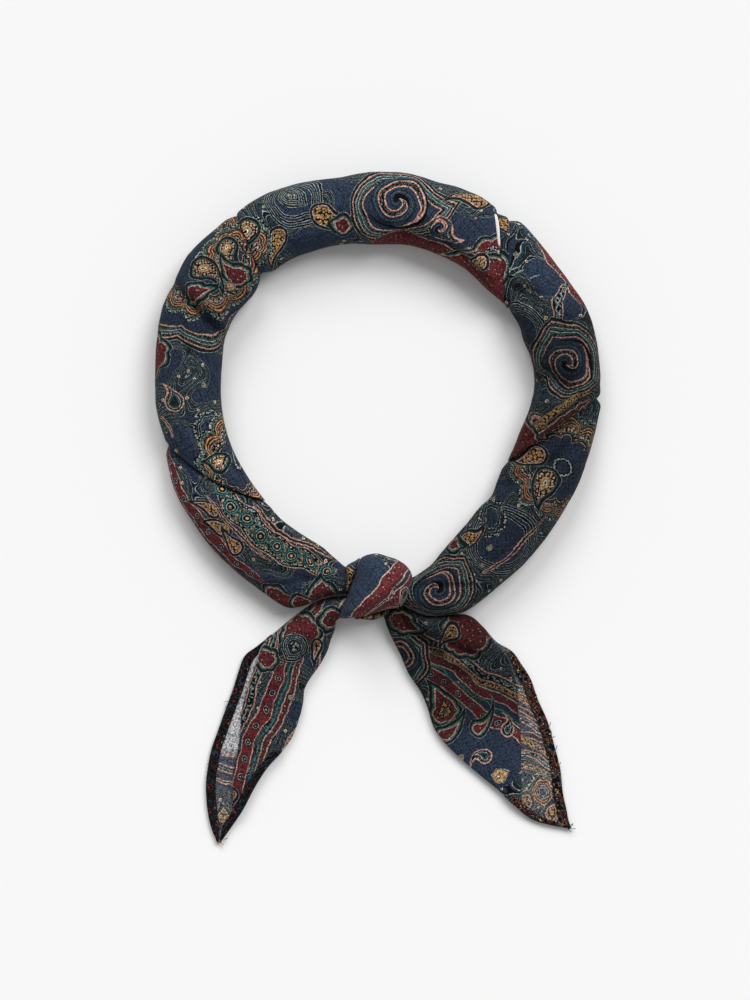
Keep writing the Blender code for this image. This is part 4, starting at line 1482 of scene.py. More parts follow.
# The weave: the pitch of the yarns' unevenness and how far it shifts them, and the lengths, across and
# along the yarns, of the faded places and of the streaks in the dye.
SLUB_PITCH = 2.2
SLUB_SHIFT = 1.5
FADED_LENGTHS = (0.7, 1.6)
FADED_LEVELS = (0.1, 0.4)
STREAK_LENGTHS = (0.55, 14.0)
SPECK_PITCHES = (0.45, 0.9)

# How much of their colour the most faded yarns lose.
GREY_SHARE = 0.5

# How much the yarns, the streaks and the specks each shade the cloth, what is taken off the three together,
# and the darkest that it may be. The yarns' part is painted light on their crowns and painted shade in the
# gaps between them. The streaks and specks vary at random.
YARN_SHADE = 0.9
STREAK_SHADE = 1.25
SPECK_SHADE = 1.7
LEAST_SHADE = 2.46
DARKEST = 0.05

# The fine relief, in millimetres: of the yarns, and of wrinkles, with their pitches.
YARN_RELIEF = 0.12
WRINKLE = 0.55
WRINKLE_PITCH = 6.5
DRAWN_WRINKLES = (3.2, 19.0)

# The label tape: the pitch of its floats and the lengths of the streaks in its warp, how much the two
# shade it, its shade between them, and the floats' relief, in millimetres.
TAPE_PITCH = 0.8
TAPE_STREAKS = (0.4, 5.0)
FLOAT_SHADE = 0.12
TAPE_STREAK_SHADE = 0.16
TAPE_SHADE = 0.82
FLOAT_RELIEF = 0.08

# A thread: its dyes and the pitch at which they change, the pitch of its twist, how much that shades
# it, its shade between the turns, and the twist's relief, in millimetres.
THREAD_DYES = "0 ink, 0.42 navy, 0.5 brown, 0.56 red, 0.62 sage, 0.7 gold"
THREAD_DYE_PITCH = 5.0
TWIST_PITCH = 0.5
TWIST_SHADE = 0.5
THREAD_SHADE = 0.6
TWIST_RELIEF = 0.06

# The way that the yarns run on each piece, in degrees. The cloth is rolled on its diagonal, so they
# cross the band at 45 degrees, and run along the hems.
GRAIN = {
    "top_stretch": 45.0,
    "left_stretch": 25.0,
    "upper_right_stretch": 65.0,
    "lower_left_stretch": 0.0,
    "lower_right_stretch": 5.0,
    "left_end_front": 73.0,
    "left_end_back": 73.0,
    "right_end_front": 29.0,
    "right_end_back": 29.0,
}

# How far one sheer layer is lightened by the table under it, at two levels of y in the plan, and the
# table's colour through it. This is painted light: the grey is the table as it looks in the shade under the
# cloth, mixed into the print, and nothing is seen through.
SHEER = {
    "left_end_back": (0.1, 1.0, -106.0, -99.0),
    "right_end_back": (0.1, 0.1, -112.0, -100.0),
}
SHADED_TABLE_PAINTED_IN = (0.42, 0.42, 0.44)

# How uneven a sheer layer is: the pitch of its clouds, the lengths of its thin places, across and along
# the yarns, how much each counts, and where each starts.
CLOUD_PITCH = 9.0
CLOUD_SHARE = 0.6
CLOUD_FROM = 0.7
THIN_LENGTHS = (0.5, 3.0)
THIN_SHARE = 1.6
THIN_FROM = 0.6

# Painted light and shade: how far each piece's colour is darkened, below 1, or lightened, above 1, where it
# isn't as on the rest: at two levels of y in the plan, and the levels. It darkens the right of the ring,
# the tuck and the right end's front near the knot as painted shade, and it lightens the wrap and the top of
# the upper right stretch as painted light.
PAINTED_LIGHT_AND_SHADE = {
    "left_stretch": (1.04, 0.79, 15.0, 80.0),
    "upper_right_stretch": (0.49, 1.12, 76.0, 96.0),
    "lower_right_stretch": (0.58, 0.52, -20.0, 20.0),
    "lower_left_stretch": (0.76, 0.95, -20.0, 20.0),
    "right_end_front": (1.02, 0.38, -100.0, -84.0),
    "left_end_front": (0.78, 0.78, 0.0, 1.0),
    "tuck": (0.85, 0.85, 0.0, 1.0),
    "wrap": (1.15, 1.15, 0.0, 1.0),
}


def graded(tree, low, high, low_y, high_y):
    """A number that goes from low to high between these two levels of the plan."""
    _, y = parts_of(tree, plan_place(tree))
    return y.smooth(low_y, high_y) * (high - low) + low


def turned(tree, place, degrees):
    """The place on axes that are turned this far."""
    return added(tree, "Mapping", {"Vector": place, "Rotation": (0.0, 0.0, -math.radians(degrees))})


def see_through(tree, place, colour, share):
    """The colour of one layer of voile, through which the table shows between the yarns: painted light, a
    grey for the shaded table mixed into the print.
    """
    cloudy = noise_of(tree, place, CLOUD_PITCH) * CLOUD_SHARE + CLOUD_FROM
    warp, weft = both_ways(tree, place, *THIN_LENGTHS)
    share = share * cloudy * ((warp + weft) * THIN_SHARE - THIN_FROM)
    return mixed(tree, share.math("MINIMUM", 1.0).math("MAXIMUM", 0.0), colour, SHADED_TABLE_PAINTED_IN)


def ribbed(value, pitch):
    """Ribs of this pitch along a value, from 0 to 1."""
    return (value * (math.tau / pitch)).sine() * 0.5 + 0.5


def tape_material(context):
    """Blank satin tape: fine slanting floats, and a warp that shows grey between them."""
    material, tree, shader = new_material("label_tape")
    place = plan_place(tree)
    x, y = parts_of(tree, place)
    floats = ribbed(x + y, TAPE_PITCH)
    streaks = stretched(tree, place, *TAPE_STREAKS)
    shade = floats * FLOAT_SHADE + streaks * TAPE_STREAK_SHADE + TAPE_SHADE
    shaded(tree, shader, tuple(context.scene.bandana_print.tape), shade)
    relief(tree, shader, floats * FLOAT_RELIEF)
    set_constants(shader, Roughness=0.7)
    return material


def thread_material(context, name):
    """Loose yarns and sewing thread, each of its own dye, with its twist."""
    material, tree, shader = new_material(name)
    place = in_millimetres(tree, added(tree, "TexCoord", output="Object"))
    stops = dyes(palette_of(context.scene.bandana_print), THREAD_DYES)
    colour, _ = bands(tree, noise_of(tree, place, THREAD_DYE_PITCH, 0.0), stops)
    x, y = parts_of(tree, place)
    twist = ribbed(x - y, TWIST_PITCH)
    shaded(tree, shader, colour, twist * TWIST_SHADE + THREAD_SHADE)
    relief(tree, shader, twist * TWIST_RELIEF)
    set_constants(shader, Roughness=0.85, Specular_IOR_Level=0.1)
    return material


def table_material(stage):
    material, _, shader = new_material("table")
    set_constants(shader, Base_Color=(*stage.floor, 1.0), Roughness=1.0, Specular_IOR_Level=0.0)
    return material


# Shapes ---------------------------------------------------------------------------------------------


def spline_value(before, start, end, after, t):
    """A Catmull-Rom curve from start to end."""
    return 0.5 * (
        2.0 * start
        + (end - before) * t
        + (2.0 * before - 5.0 * start + 4.0 * end - after) * t * t
        + (3.0 * start - 3.0 * end + after - before) * t * t * t
    )


def rows_between(rows, i, steps):
    """A table's row and further ones before the next, on smooth curves through each column."""
    around = [rows[max(i - 1, 0)], rows[i], rows[i + 1], rows[min(i + 2, len(rows) - 1)]]
    return [
        type(rows[0])(*(spline_value(*column, step / steps) for column in zip(*around)))
        for step in range(steps)
    ]


def smooth_rows(rows, spacing, distance):
    """A table's rows with further ones between them, about this spacing apart."""
    smooth = []
    for i in range(len(rows) - 1):
        steps = max(round(distance(rows[i], rows[i + 1]) / spacing), 1)
        smooth += rows_between(rows, i, steps)
    return [*smooth, rows[-1]]


def smooth_step(value, low, high):
    share = min(max((value - low) / (high - low), 0.0), 1.0)
    return share * share * (3.0 - 2.0 * share)


def crease_depth(x, y, creases):
    """How far the creases lower the cloth here. Each is deepest in its middle and fades at its ends."""
    depth = 0.0
    for crease in creases:
        along_x, along_y = crease.x1 - crease.x0, crease.y1 - crease.y0
        t = ((x - crease.x0) * along_x + (y - crease.y0) * along_y) / (along_x**2 + along_y**2)
        t = min(max(t, 0.0), 1.0)
        away = math.hypot(x - crease.x0 - t * along_x, y - crease.y0 - t * along_y) / crease.half_width
        if away < CREASE_REACH:
            fade = CREASE_END_SHARE + CREASE_SWELL * math.sin(math.pi * t)
            depth += crease.depth * fade * math.exp(-away * away)
    return depth


def ripple(x, y, z, seed):
    """Slack in the cloth: soft lumps of two sizes, from about -1 to 1."""
    return sum(
        share * noise.noise(Vector((x / pitch, y / pitch, z / pitch + seed)))
        for pitch, share in SLACK_SHARES.items()
    )


def drawn_lines(x, y, z, seed):
    """Long shallow valleys where the roll was drawn tight: 1 in a valley and 0 away from it."""
    out = math.hypot(x - RING_CENTRE[0], y - RING_CENTRE[1])
    along = math.atan2(y - RING_CENTRE[1], x - RING_CENTRE[0]) * DRAWN_RADIUS
    slant = DRAWN_SLANT if int(seed) % 2 else -DRAWN_SLANT
    length, width = DRAWN_PITCHES
    line = noise.noise(Vector((along / length, (out + z + slant * along) / width, seed + 5.0)))
    return max(1.0 - abs(line) / DRAWN_WIDTH, 0.0) ** 1.5


def in_metres(x, y, z):
    return Vector(((x - ORIGIN[0]) * MM, (y - ORIGIN[1]) * MM, z * MM))


def cloth_grid(columns, rows, place):
    """A grid whose points are put where place(column, row) says. Its UV map is the cut cloth's plan."""
    bm = bmesh.new()
    bmesh.ops.create_grid(bm, x_segments=columns - 1, y_segments=rows - 1, size=1.0)
    print_map = bm.loops.layers.uv.new(PRINT_MAP)
    plan = {}
    for vert in bm.verts:
        column = round((vert.co.x + 1.0) / 2.0 * (columns - 1))
        row = round((vert.co.y + 1.0) / 2.0 * (rows - 1))
        x, y, z, u, v = place(column, row)
        vert.co = in_metres(x, y, z)
        plan[vert] = (u * MM, v * MM)
    for face in bm.faces:
        for loop in face.loops:
            loop[print_map].uv = plan[loop.vert]
    return bm


def close_seams(bm):
    """Merges a tube's seam and poles, and turns its faces outwards."""
    bmesh.ops.remove_doubles(bm, verts=bm.verts, dist=MERGE_WITHIN * MM)
    bmesh.ops.dissolve_degenerate(bm, dist=NO_LENGTH * MM, edges=bm.edges)
    bmesh.ops.recalc_face_normals(bm, faces=bm.faces)
    highest = max(bm.faces, key=lambda face: face.calc_center_median().z)
    if highest.normal.z < 0.0:
        bmesh.ops.reverse_faces(bm, faces=bm.faces)


def close_ends(bm):
    """Fills the open ends of a tube."""
    edges = [edge for edge in bm.edges if edge.is_boundary]
    bmesh.ops.holes_fill(bm, edges=edges, sides=len(edges))


def face_up(bm):
    """Turns an open sheet's faces upwards."""
    bm.normal_update()
    if sum(face.normal.z * face.calc_area() for face in bm.faces) < 0.0:
        bmesh.ops.reverse_faces(bm, faces=bm.faces)


def finished(name, bm, thickness, material, nodes, offset=-1.0):
    """The bmesh as a piece with its thickness, in place of its solids. Returns it and the bmesh's area."""
    area = sum(face.calc_area() for face in bm.faces)
    mesh = bpy.data.meshes.new(name)
    bm.to_mesh(mesh)
    bm.free()
    mesh.shade_smooth()
    mesh.materials.append(material)
    piece = bpy.data.objects.new(name, mesh)
    bpy.context.scene.collection.objects.link(piece)
    if thickness:
        wall = piece.modifiers.new("cloth", "SOLIDIFY")
        wall.thickness = thickness
        wall.offset = offset
        wall.use_even_offset = False
    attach(piece, BODY)
    if nodes:
        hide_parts(*nodes)
    return piece, area


def voile_piece(context, name, bm, node, offset=-1.0):
    """A finished piece of printed voile, and its area."""
    thickness = context.scene.bandana_cloth.cloth
    return finished(name, bm, thickness, printed_material(context, name), [node], offset)


def outline_length(points):
    return sum(math.dist(a, b) for a, b in zip(points, points[1:]))


def section_ends(section):
    """The section's places on the ring's inner edge and on its outer edge."""
    inner = ring_point(section.in_bearing, section.in_radius)
    return inner, ring_point(section.out_bearing, section.out_radius)


def middle(start, end):
    return (start[0] + end[0]) / 2.0, (start[1] + end[1]) / 2.0


def section_distance(first, second):
    return math.dist(middle(*section_ends(first)), middle(*section_ends(second)))


def signed_power(value, power):
    return math.copysign(abs(value) ** power, value)


def roll_outline(half_width, crest):
    """Points round a roll's section from under its middle, out and over, as across and height."""
    widest = WIDEST_SHARE * crest
    foot = FOOT_SHARE * half_width
    power = 2.0 / ROLL_ROUNDNESS
    outer = [(foot * i / STEPS_UNDER, 0.0) for i in range(STEPS_UNDER)]
    for i in range(STEPS_AT_KNEE):
        knee = math.pi / 2.0 * i / STEPS_AT_KNEE
        outer.append((foot + (half_width - foot) * math.sin(knee), widest * (1.0 - math.cos(knee))))
    over = []
    for i in range(STEPS_OVER + 1):
        angle = math.pi * i / STEPS_OVER
        rise = (crest - widest) * math.sin(angle) ** power
        over.append((half_width * signed_power(math.cos(angle), power), widest + rise))
    inner = [(-across, height) for across, height in reversed(outer)]
    return outer + over + inner


def past_end(row, neighbour, distance):
    """The section at this distance past an end, towards the one that comes next."""
    t = distance / section_distance(row, neighbour)
    next_row = neighbour._replace(crest=row.crest, bow=row.bow)
    return Section(*(here + (there - here) * t for here, there in zip(row, next_row)))


def stretch_profile(stretch, spacing):
    """The stretch's sections in order, past any seam at either end. Each has its size and how free its
    cloth is to crease."""
    rows = smooth_rows(stretch.rows, spacing, section_distance)
    travelled = [0.0]
    for first, second in zip(rows, rows[1:]):
        travelled.append(travelled[-1] + section_distance(first, second))
    profile = []
    for distance, size in reversed(END_RINGS[stretch.first]):
        row = past_end(rows[0], stretch.before, distance)
        profile.append((row, size * end_size(0.0, stretch.first), 0.0))
    for row, distance in zip(rows, travelled):
        from_first, from_last = distance, travelled[-1] - distance
        size = end_size(from_first, stretch.first) * end_size(from_last, stretch.last)
        profile.append((row, size, smooth_step(min(from_first, from_last), *FREE_FROM_END)))
    for distance, size in END_RINGS[stretch.last]:
        row = past_end(rows[-1], stretch.after, distance)
        profile.append((row, size * end_size(0.0, stretch.last), 0.0))
    return profile


def end_size(distance, kind):
    """A roll's size near its end, beside that of its rows: it sinks where it goes under its neighbour."""
    if kind != "under":
        return 1.0
    return 1.0 - UNDER_SINK * (1.0 - smooth_step(distance, 0.0, UNDER_REACH))


def stretch_ring(section, size, free, creases, seed):
    """One section's points in place, each with its place in the cut cloth's plan."""
    inner, outer = section_ends(section)
    length = math.dist(inner, outer)
    across_x, across_y = (outer[0] - inner[0]) / length, (outer[1] - inner[1]) / length
    middle_x, middle_y = middle(inner, outer)
    half_width, crest = size * length / 2.0, size * section.crest
    lift = FOOT_LIFT * smooth_step(1.0 - size, *FOOT_LIFT_AT)
    outline = roll_outline(half_width, crest)
    half_round = outline_length(outline) / 2.0
    walked = 0.0
    ring = []
    for i, (across, height) in enumerate(outline):
        walked += math.dist(outline[i - 1], outline[i]) if i else 0.0
        share = across / half_width
        onwards = section.bow * max(1.0 - share * share, 0.0)
        x = middle_x + across * across_x - onwards * across_y
        y = middle_y + across * across_y + onwards * across_x
        level = min(height / crest, 1.0)
        relief = free * level * level * -crease_depth(x, y, creases)
        relief += RIPPLE * level * (HELD_RIPPLE + (1.0 - HELD_RIPPLE) * free) * ripple(x, y, height, seed)
        relief -= DRAWN_DEPTH * level * free * drawn_lines(x, y, height, seed)
        up = (height / crest - WIDEST_SHARE) / (1.0 - WIDEST_SHARE)
        steep = math.hypot(share, up)
        lean = relief * share / steep if up > 0.0 else relief * math.copysign(1.0, share)
        rise = relief * up / steep if up > 0.0 else 0.0
        plan = half_round - walked
        u = middle_x + plan * across_x - onwards * across_y
        v = middle_y + plan * across_y + onwards * across_x
        ring.append((x + lean * across_x, y + lean * across_y, height + rise + lift, u, v))
    return ring


def wrap_radius(bearing):
    """The wrap's edge at any bearing, on a smooth curve through its table."""
    bearing %= 360.0
    count = len(WRAP_EDGE)
    index = max(i for i in range(count) if WRAP_EDGE[i].bearing <= bearing)
    start = WRAP_EDGE[index]
    end = WRAP_EDGE[(index + 1) % count]
    t = (bearing - start.bearing) / ((end.bearing - start.bearing) % 360.0)
    after = WRAP_EDGE[(index + 2) % count]
    return spline_value(WRAP_EDGE[index - 1].radius, start.radius, end.radius, after.radius, t)


def knot_point(bearing, radius):
    angle = math.radians(bearing)
    return KNOT_CENTRE[0] + radius * math.cos(angle), KNOT_CENTRE[1] + radius * math.sin(angle)


def wrap_levels():
    """The wrap's rounding from under its middle, out and over: share of its radius, and height."""
    widest = WIDEST_SHARE * KNOT_CREST
    power = 2.0 / KNOT_ROUNDNESS
    levels = [(KNOT_KNEE[0][0] * i / STEPS_UNDER, 0.0) for i in range(STEPS_UNDER)]
    levels += [(share, height * widest) for share, height in KNOT_KNEE]
    for i in range(STEPS_UP_KNOT + 1):
        angle = math.pi / 2.0 * i / STEPS_UP_KNOT
        rise = (KNOT_CREST - widest) * math.sin(angle) ** power
        levels.append((max(math.cos(angle), 0.0) ** power, widest + rise))
    return levels


def wrap_surface():
    """The cloth that goes once round the knot: a plump mound over its own outline, flat underneath."""
    levels = wrap_levels()

    def place(column, row):
        bearing = 360.0 * (column % STEPS_ROUND_KNOT) / STEPS_ROUND_KNOT
        share, height = levels[row]
        radius = wrap_radius(bearing)
        x, y = knot_point(bearing, share * radius)
        level = height / KNOT_CREST
        height -= crease_depth(x, y, WRAP_CREASES) * level * level
        slack = RIPPLE * level * ripple(x, y, height, WRAP_SEED)
        x, y = knot_point(bearing, share * (radius + slack))
        from_top = outline_length([(s * radius, h) for s, h in levels[row:]])
        u, v = knot_point(bearing, from_top)
        return x, y, height + level * slack, u, v

    bm = cloth_grid(STEPS_ROUND_KNOT + 1, len(levels), place)
    close_seams(bm)
    return bm


def knot_layer_surface(rows, seed):
    """A layer of cloth against the wrap's side, upright, with a rounded top."""
    smooth = smooth_rows(rows, LAYER_SPACING, lambda a, b: abs(b.bearing - a.bearing))

    def place(column, row):
        layer = smooth[row]
        share_out, share_up = KNOT_LAYER_OUTLINE[column]
        inner = wrap_radius(layer.bearing) + SEAM_GAP
        height = share_up * layer.height
        slack = LAYER_RIPPLE * share_up * ripple(layer.bearing / 3.0, height, 0.0, seed)
        x, y = knot_point(layer.bearing, inner + share_out * layer.thickness + slack)
        u, v = knot_point(layer.bearing, inner + layer.height + layer.thickness - height)
        return x, y, height, u, v

    bm = cloth_grid(len(KNOT_LAYER_OUTLINE), len(smooth), place)
    close_seams(bm)
    close_ends(bm)
    bmesh.ops.recalc_face_normals(bm, faces=bm.faces)
    return bm


def station_point(station, share):
    """The place in plan at this share of a station's width, from its left edge to its right edge."""
    x = station.left_x + share * (station.right_x - station.left_x)
    y = station.left_y + share * (station.right_y - station.left_y)
    return x, y


def station_width(station):
    return math.hypot(station.right_x - station.left_x, station.right_y - station.left_y)


def station_distance(first, second):
    return math.dist(station_point(first, 0.5), station_point(second, 0.5))


def stations_length(stations):
    """The length of an end or a hem along the middle of its stations, in metres."""
    return sum(station_distance(a, b) for a, b in zip(stations, stations[1:])) * MM


def hem_share(station):
    return min(HEM_WIDTH / station_width(station), HEM_MOST_SHARE)


def gather_height(station, column):
    """How high the gathered cloth lifts the front layer, at a share of that layer's width."""
    column = min(max(column, 0.0), 1.0)
    return station.gather * max(1.0 - abs(2.0 * column - 1.0) ** GATHER_LEVEL, 0.0) ** GATHER_STEEP


def end_lift(x, y, seed):
    """How far a pointed end stands off the table in its longest waves, which die out near the knot."""
    wave = 0.5 + 0.5 * noise.noise(Vector((x / END_WAVE_PITCH, y / END_WAVE_PITCH, seed)))
    return END_WAVE * wave * smooth_step(math.dist((x, y), KNOT_CENTRE), END_STILL, END_FREE)


def over_front(station, share, front_share, lift_share):
    """The level just over the front layer, or over the back layer where the front one runs out."""
    cover = min(front_share / lift_share, 1.0)
    column = share / max(front_share, HEM_LEAST_SHARE)
    return cover * (LAYER_PITCH + gather_height(station, column))


def end_back_surface(stations, seed):
    """The layer of a pointed end that lies on the table."""

    def place(column, row):
        x, y = station_point(stations[row], column / STEPS_ACROSS_BACK)
        lift = end_lift(x, y, seed)
        return x, y, BACK_LEVEL + lift + BACK_RIPPLE * ripple(x, y, 0.0, seed), x, y

    bm = cloth_grid(STEPS_ACROSS_BACK + 1, len(stations), place)
    face_up(bm)
    return bm


def front_span(end, station):
    """The shares of a station's width between which the front layer lies."""
    return (station.front, 1.0) if end.front_edge else (0.0, station.front)


def end_front_surface(end, stations):
    """The front layer of a pointed end, gathered near the knot: its top, and back under it."""

    def place(column, row):
        station = stations[row]
        left, right = front_span(end, station)
        if column <= STEPS_ACROSS_FRONT:
            inwards = 0.5 - 0.5 * math.cos(math.pi * column / STEPS_ACROSS_FRONT)
        else:
            inwards = 1.0 - (column - STEPS_ACROSS_FRONT) / STEPS_UNDER_FRONT
        x, y = station_point(station, left + (right - left) * inwards)
        lift = end_lift(x, y, end.seed)
        if column > STEPS_ACROSS_FRONT:
            return x, y, LAYER_PITCH + lift, x, y
        from_edge = min(inwards, 1.0 - inwards) * (right - left) * station_width(station)
        rounding = math.sqrt(max(1.0 - (1.0 - min(from_edge / EDGE_ROUND, 1.0)) ** 2, 0.0))
        strength = min(station.gather / GATHER_WHOLE_FOLD, 1.0) * 4.0 * inwards * (1.0 - inwards)
        gather = max(gather_height(station, inwards) - strength * crease_depth(x, y, end.creases), 0.0)
        slack = RIPPLE * rounding * (0.6 + 0.1 * station.gather) * ripple(x, y, 0.0, end.seed)
        return x, y, LAYER_PITCH + SOLID_WALL * rounding + gather + slack + lift, x, y

    bm = cloth_grid(STEPS_ACROSS_FRONT + STEPS_UNDER_FRONT + 1, len(stations), place)
    close_seams(bm)
    close_ends(bm)
    bmesh.ops.recalc_face_normals(bm, faces=bm.faces)
    return bm


def hem_place(station, share, rise, hem, thickness, seed):
    """A place on a hem: share is across it from the cloth's edge, rise from what it lies on to its top."""
    width = hem.width_of(station)
    across = share * width if hem.outer == 0.0 else 1.0 - share * width
    base = hem.base_of(station, across)
    x, y = station_point(station, across)
    lift = end_lift(x, y, seed)
    low = EDGE_LEVEL if share < 0.3 else base + HEM_LEVEL
    top = base + HEM_LEVEL + thickness / MM + HEM_RIPPLE * ripple(2.0 * x, 2.0 * y, 0.0, seed + 3.0)
    return x, y, lift + low + rise * (top - low)


def hems_of(end, stations):
    """The hems of a pointed end: along its side, and along the other edge by its tip."""

    def side_width(station):
        left, right = front_span(end, station)
        bare = 1.0 - (right - left)
        return min(hem_share(station), max(bare - HEM_TO_FRONT, HEM_LEAST_SHARE))

    def back_level(station, share):
        return 0.0

    def front_level(station, share):
        left, right = front_span(end, station)
        return over_front(station, share - left, right - left, end.lift_share)

    side = rows_from(stations, end.stations, HEM_FROM_ROW)
    tip = rows_from(stations, end.stations, end.tip_hem_from)
    return (
        Hem(end.name + "_hem", end.node + "_hem", side, 1.0 - end.front_edge, side_width, back_level),
        Hem(end.name + "_tip_hem", end.node + "_tip_hem", tip, end.front_edge, hem_share, front_level),
    )


def hem_surface(hem, thickness, seed):
    """A hem turned twice over the edge of the cloth."""

    def place(column, row):
        share, rise = HEM_OUTLINE[column]
        x, y, z = hem_place(hem.stations[row], share, rise, hem, thickness, seed)
        return x, y, z, x, y

    bm = cloth_grid(len(HEM_OUTLINE), len(hem.stations), place)
    face_up(bm)
    return bm


def add_stitches(bm, hem, cloth, seed):
    """Stitches along the inner side of a hem."""
    line = [
        in_metres(*hem_place(station, STITCH_SHARE, 1.0, hem, cloth.hem, seed)) for station in hem.stations
    ]
    half_size = Matrix.Diagonal((*(half * MM for half in STITCH_HALF), 1.0))
    slant = Matrix.Rotation(math.radians(STITCH_SLANT), 4, "Z")
    walked = 0.0
    for start, end in zip(line, line[1:]):
        walked += (end - start).length
        if walked < cloth.stitch:
            continue
        walked = 0.0
        onwards = (end - start).to_track_quat("X", "Z").to_matrix().to_4x4()
        place = Matrix.Translation(end) @ onwards @ slant @ half_size
        bmesh.ops.create_icosphere(bm, subdivisions=1, radius=1.0, matrix=place)


def add_fray(bm, fray, seed):
    """A yarn end that has worked loose and curls on the table."""
    bend = math.radians(YARN_BEND)
    way = math.radians(fray.bearing)
    start = in_metres(fray.x, fray.y, YARN_LEVEL + end_lift(fray.x, fray.y, seed))
    onwards = Vector((math.cos(way), math.sin(way), 0.0))
    sideways = Vector((-onwards.y, onwards.x, 0.0))
    upright = onwards.to_track_quat("Z", "Y").to_matrix().to_4x4()
    ring = bmesh.ops.create_circle(
        bm, segments=5, radius=YARN_RADIUS * MM, matrix=Matrix.Translation(start) @ upright
    )
    edges = list(dict.fromkeys(edge for vert in ring["verts"] for edge in vert.link_edges))
    centre = start + sideways * fray.length * MM / bend
    axis = (0.0, 0.0, 1.0)
    bmesh.ops.spin(bm, geom=ring["verts"] + edges, cent=centre, axis=axis, angle=bend, steps=6)


def threads_surface(hems, frays, cloth, seed):
    """The sewing and the loose yarn ends of one pointed end."""
    bm = bmesh.new()
    for hem in hems:
        add_stitches(bm, hem, cloth, seed)
    for fray in frays:
        add_fray(bm, fray, seed)
    close_ends(bm)
    bmesh.ops.recalc_face_normals(bm, faces=bm.faces)
    return bm


def rows_from(stations, table, row):
    """The part of the finer stations from a row of their table on."""
    start = station_point(table[int(row)], 0.5)
    if row > int(row):
        later = station_point(table[int(row) + 1], 0.5)
        start = middle(start, later)
    nearest = min(range(len(stations)), key=lambda i: math.dist(start, station_point(stations[i], 0.5)))
    return stations[nearest:]


def declare_cloth(piece, length, area):
    """Works out the width of cloth of this length and area, laid out flat, no narrower than the narrowest
    cut, and keeps nothing. The piece is not used.
    """
    width = max(area / length, NARROWEST_CUT)


# Operators ------------------------------------------------------------------------------------------


class BANDANA_OT_band(bpy.types.Operator):
    """Add the six stretches of the rolled band"""

    bl_idname = "bandana.add_band"
    bl_label = "Rolled Band"
    bl_options = {"REGISTER", "UNDO"}

    def execute(self, context):
        spacing = context.scene.bandana_cloth.spacing / MM
        for seed, stretch in enumerate(STRETCHES):
            creases = BAND_CREASES.get(stretch.piece, [])
            rings = [
                stretch_ring(section, size, free, creases, float(seed))
                for section, size, free in stretch_profile(stretch, spacing)
            ]
            bm = cloth_grid(len(rings[0]), len(rings), lambda column, row: rings[row][column])
            close_seams(bm)
            length = outline_length([ring[len(ring) // 2][:3] for ring in rings]) * MM
            piece, area = voile_piece(context, stretch.piece, bm, stretch.node)
            declare_cloth(piece, length, area)
        return {"FINISHED"}


class BANDANA_OT_knot(bpy.types.Operator):
    """Add the knot: its wrap, the strip beside it and the roll below it"""

    bl_idname = "bandana.add_knot"
    bl_label = "Knot"
    bl_options = {"REGISTER", "UNDO"}

    def execute(self, context):
        surfaces = {
            "wrap": wrap_surface(),
            "strip": knot_layer_surface(KNOT_STRIP, STRIP_SEED),
            "roll": knot_layer_surface(KNOT_ROLL, ROLL_SEED),
        }
        for name, bm in surfaces.items():
            # The two layers are closed forms with cloth on both their sides.
            thickness, sides = (context.scene.bandana_cloth.cloth, 1.0) if name == "wrap" else (0.0, 2.0)
            node = "knot_" + name
            material = printed_material(context, name)
            piece, area = finished(node + "_cloth", bm, thickness, material, [node])
            declare_cloth(piece, max(piece.dimensions), area / sides)
        return {"FINISHED"}


class BANDANA_OT_left_end(bpy.types.Operator):
    """Add the left pointed end: its two layers, its hems and their sewing"""

    bl_idname = "bandana.add_left_end"
    bl_label = "Left End"
    bl_options = {"REGISTER", "UNDO"}

    def execute(self, context):
        add_end(context, LEFT_END)
        return {"FINISHED"}


class BANDANA_OT_right_end(bpy.types.Operator):
    """Add the right pointed end: its two layers, its hems and their sewing"""

    bl_idname = "bandana.add_right_end"
    bl_label = "Right End"
    bl_options = {"REGISTER", "UNDO"}

    def execute(self, context):
        add_end(context, RIGHT_END)
        return {"FINISHED"}


def add_end(context, end):
    """Adds a pointed end: its hems with their sewing and loose yarn ends, and its two layers."""
    cloth = context.scene.bandana_cloth
    stations = smooth_rows(end.stations, cloth.spacing / MM, station_distance)
    hems = hems_of(end, stations)
    for hem in hems:
        bm = hem_surface(hem, cloth.hem, end.seed)
        piece, area = voile_piece(context, hem.piece, bm, hem.node)
        declare_cloth(piece, stations_length(hem.stations), area)
    threads = end.name + "_threads"
    bm = threads_surface(hems, FRAYS[end.name], cloth, end.seed)
    finished(threads, bm, 0.0, thread_material(context, threads), [])

    length = stations_length(stations)
    back = end.name + "_back"
    bm = end_back_surface(stations, end.seed)
    piece, area = voile_piece(context, back, bm, end.node + "_back", 0.0)
    declare_cloth(piece, length, area)

    beyond_front = rows_from(stations, end.stations, end.front_rows - 1)
    bm = end_front_surface(end, stations[: len(stations) - len(beyond_front) + 1])
    piece, area = voile_piece(context, end.name + "_front", bm, end.node + "_front")
    declare_cloth(piece, length, area)


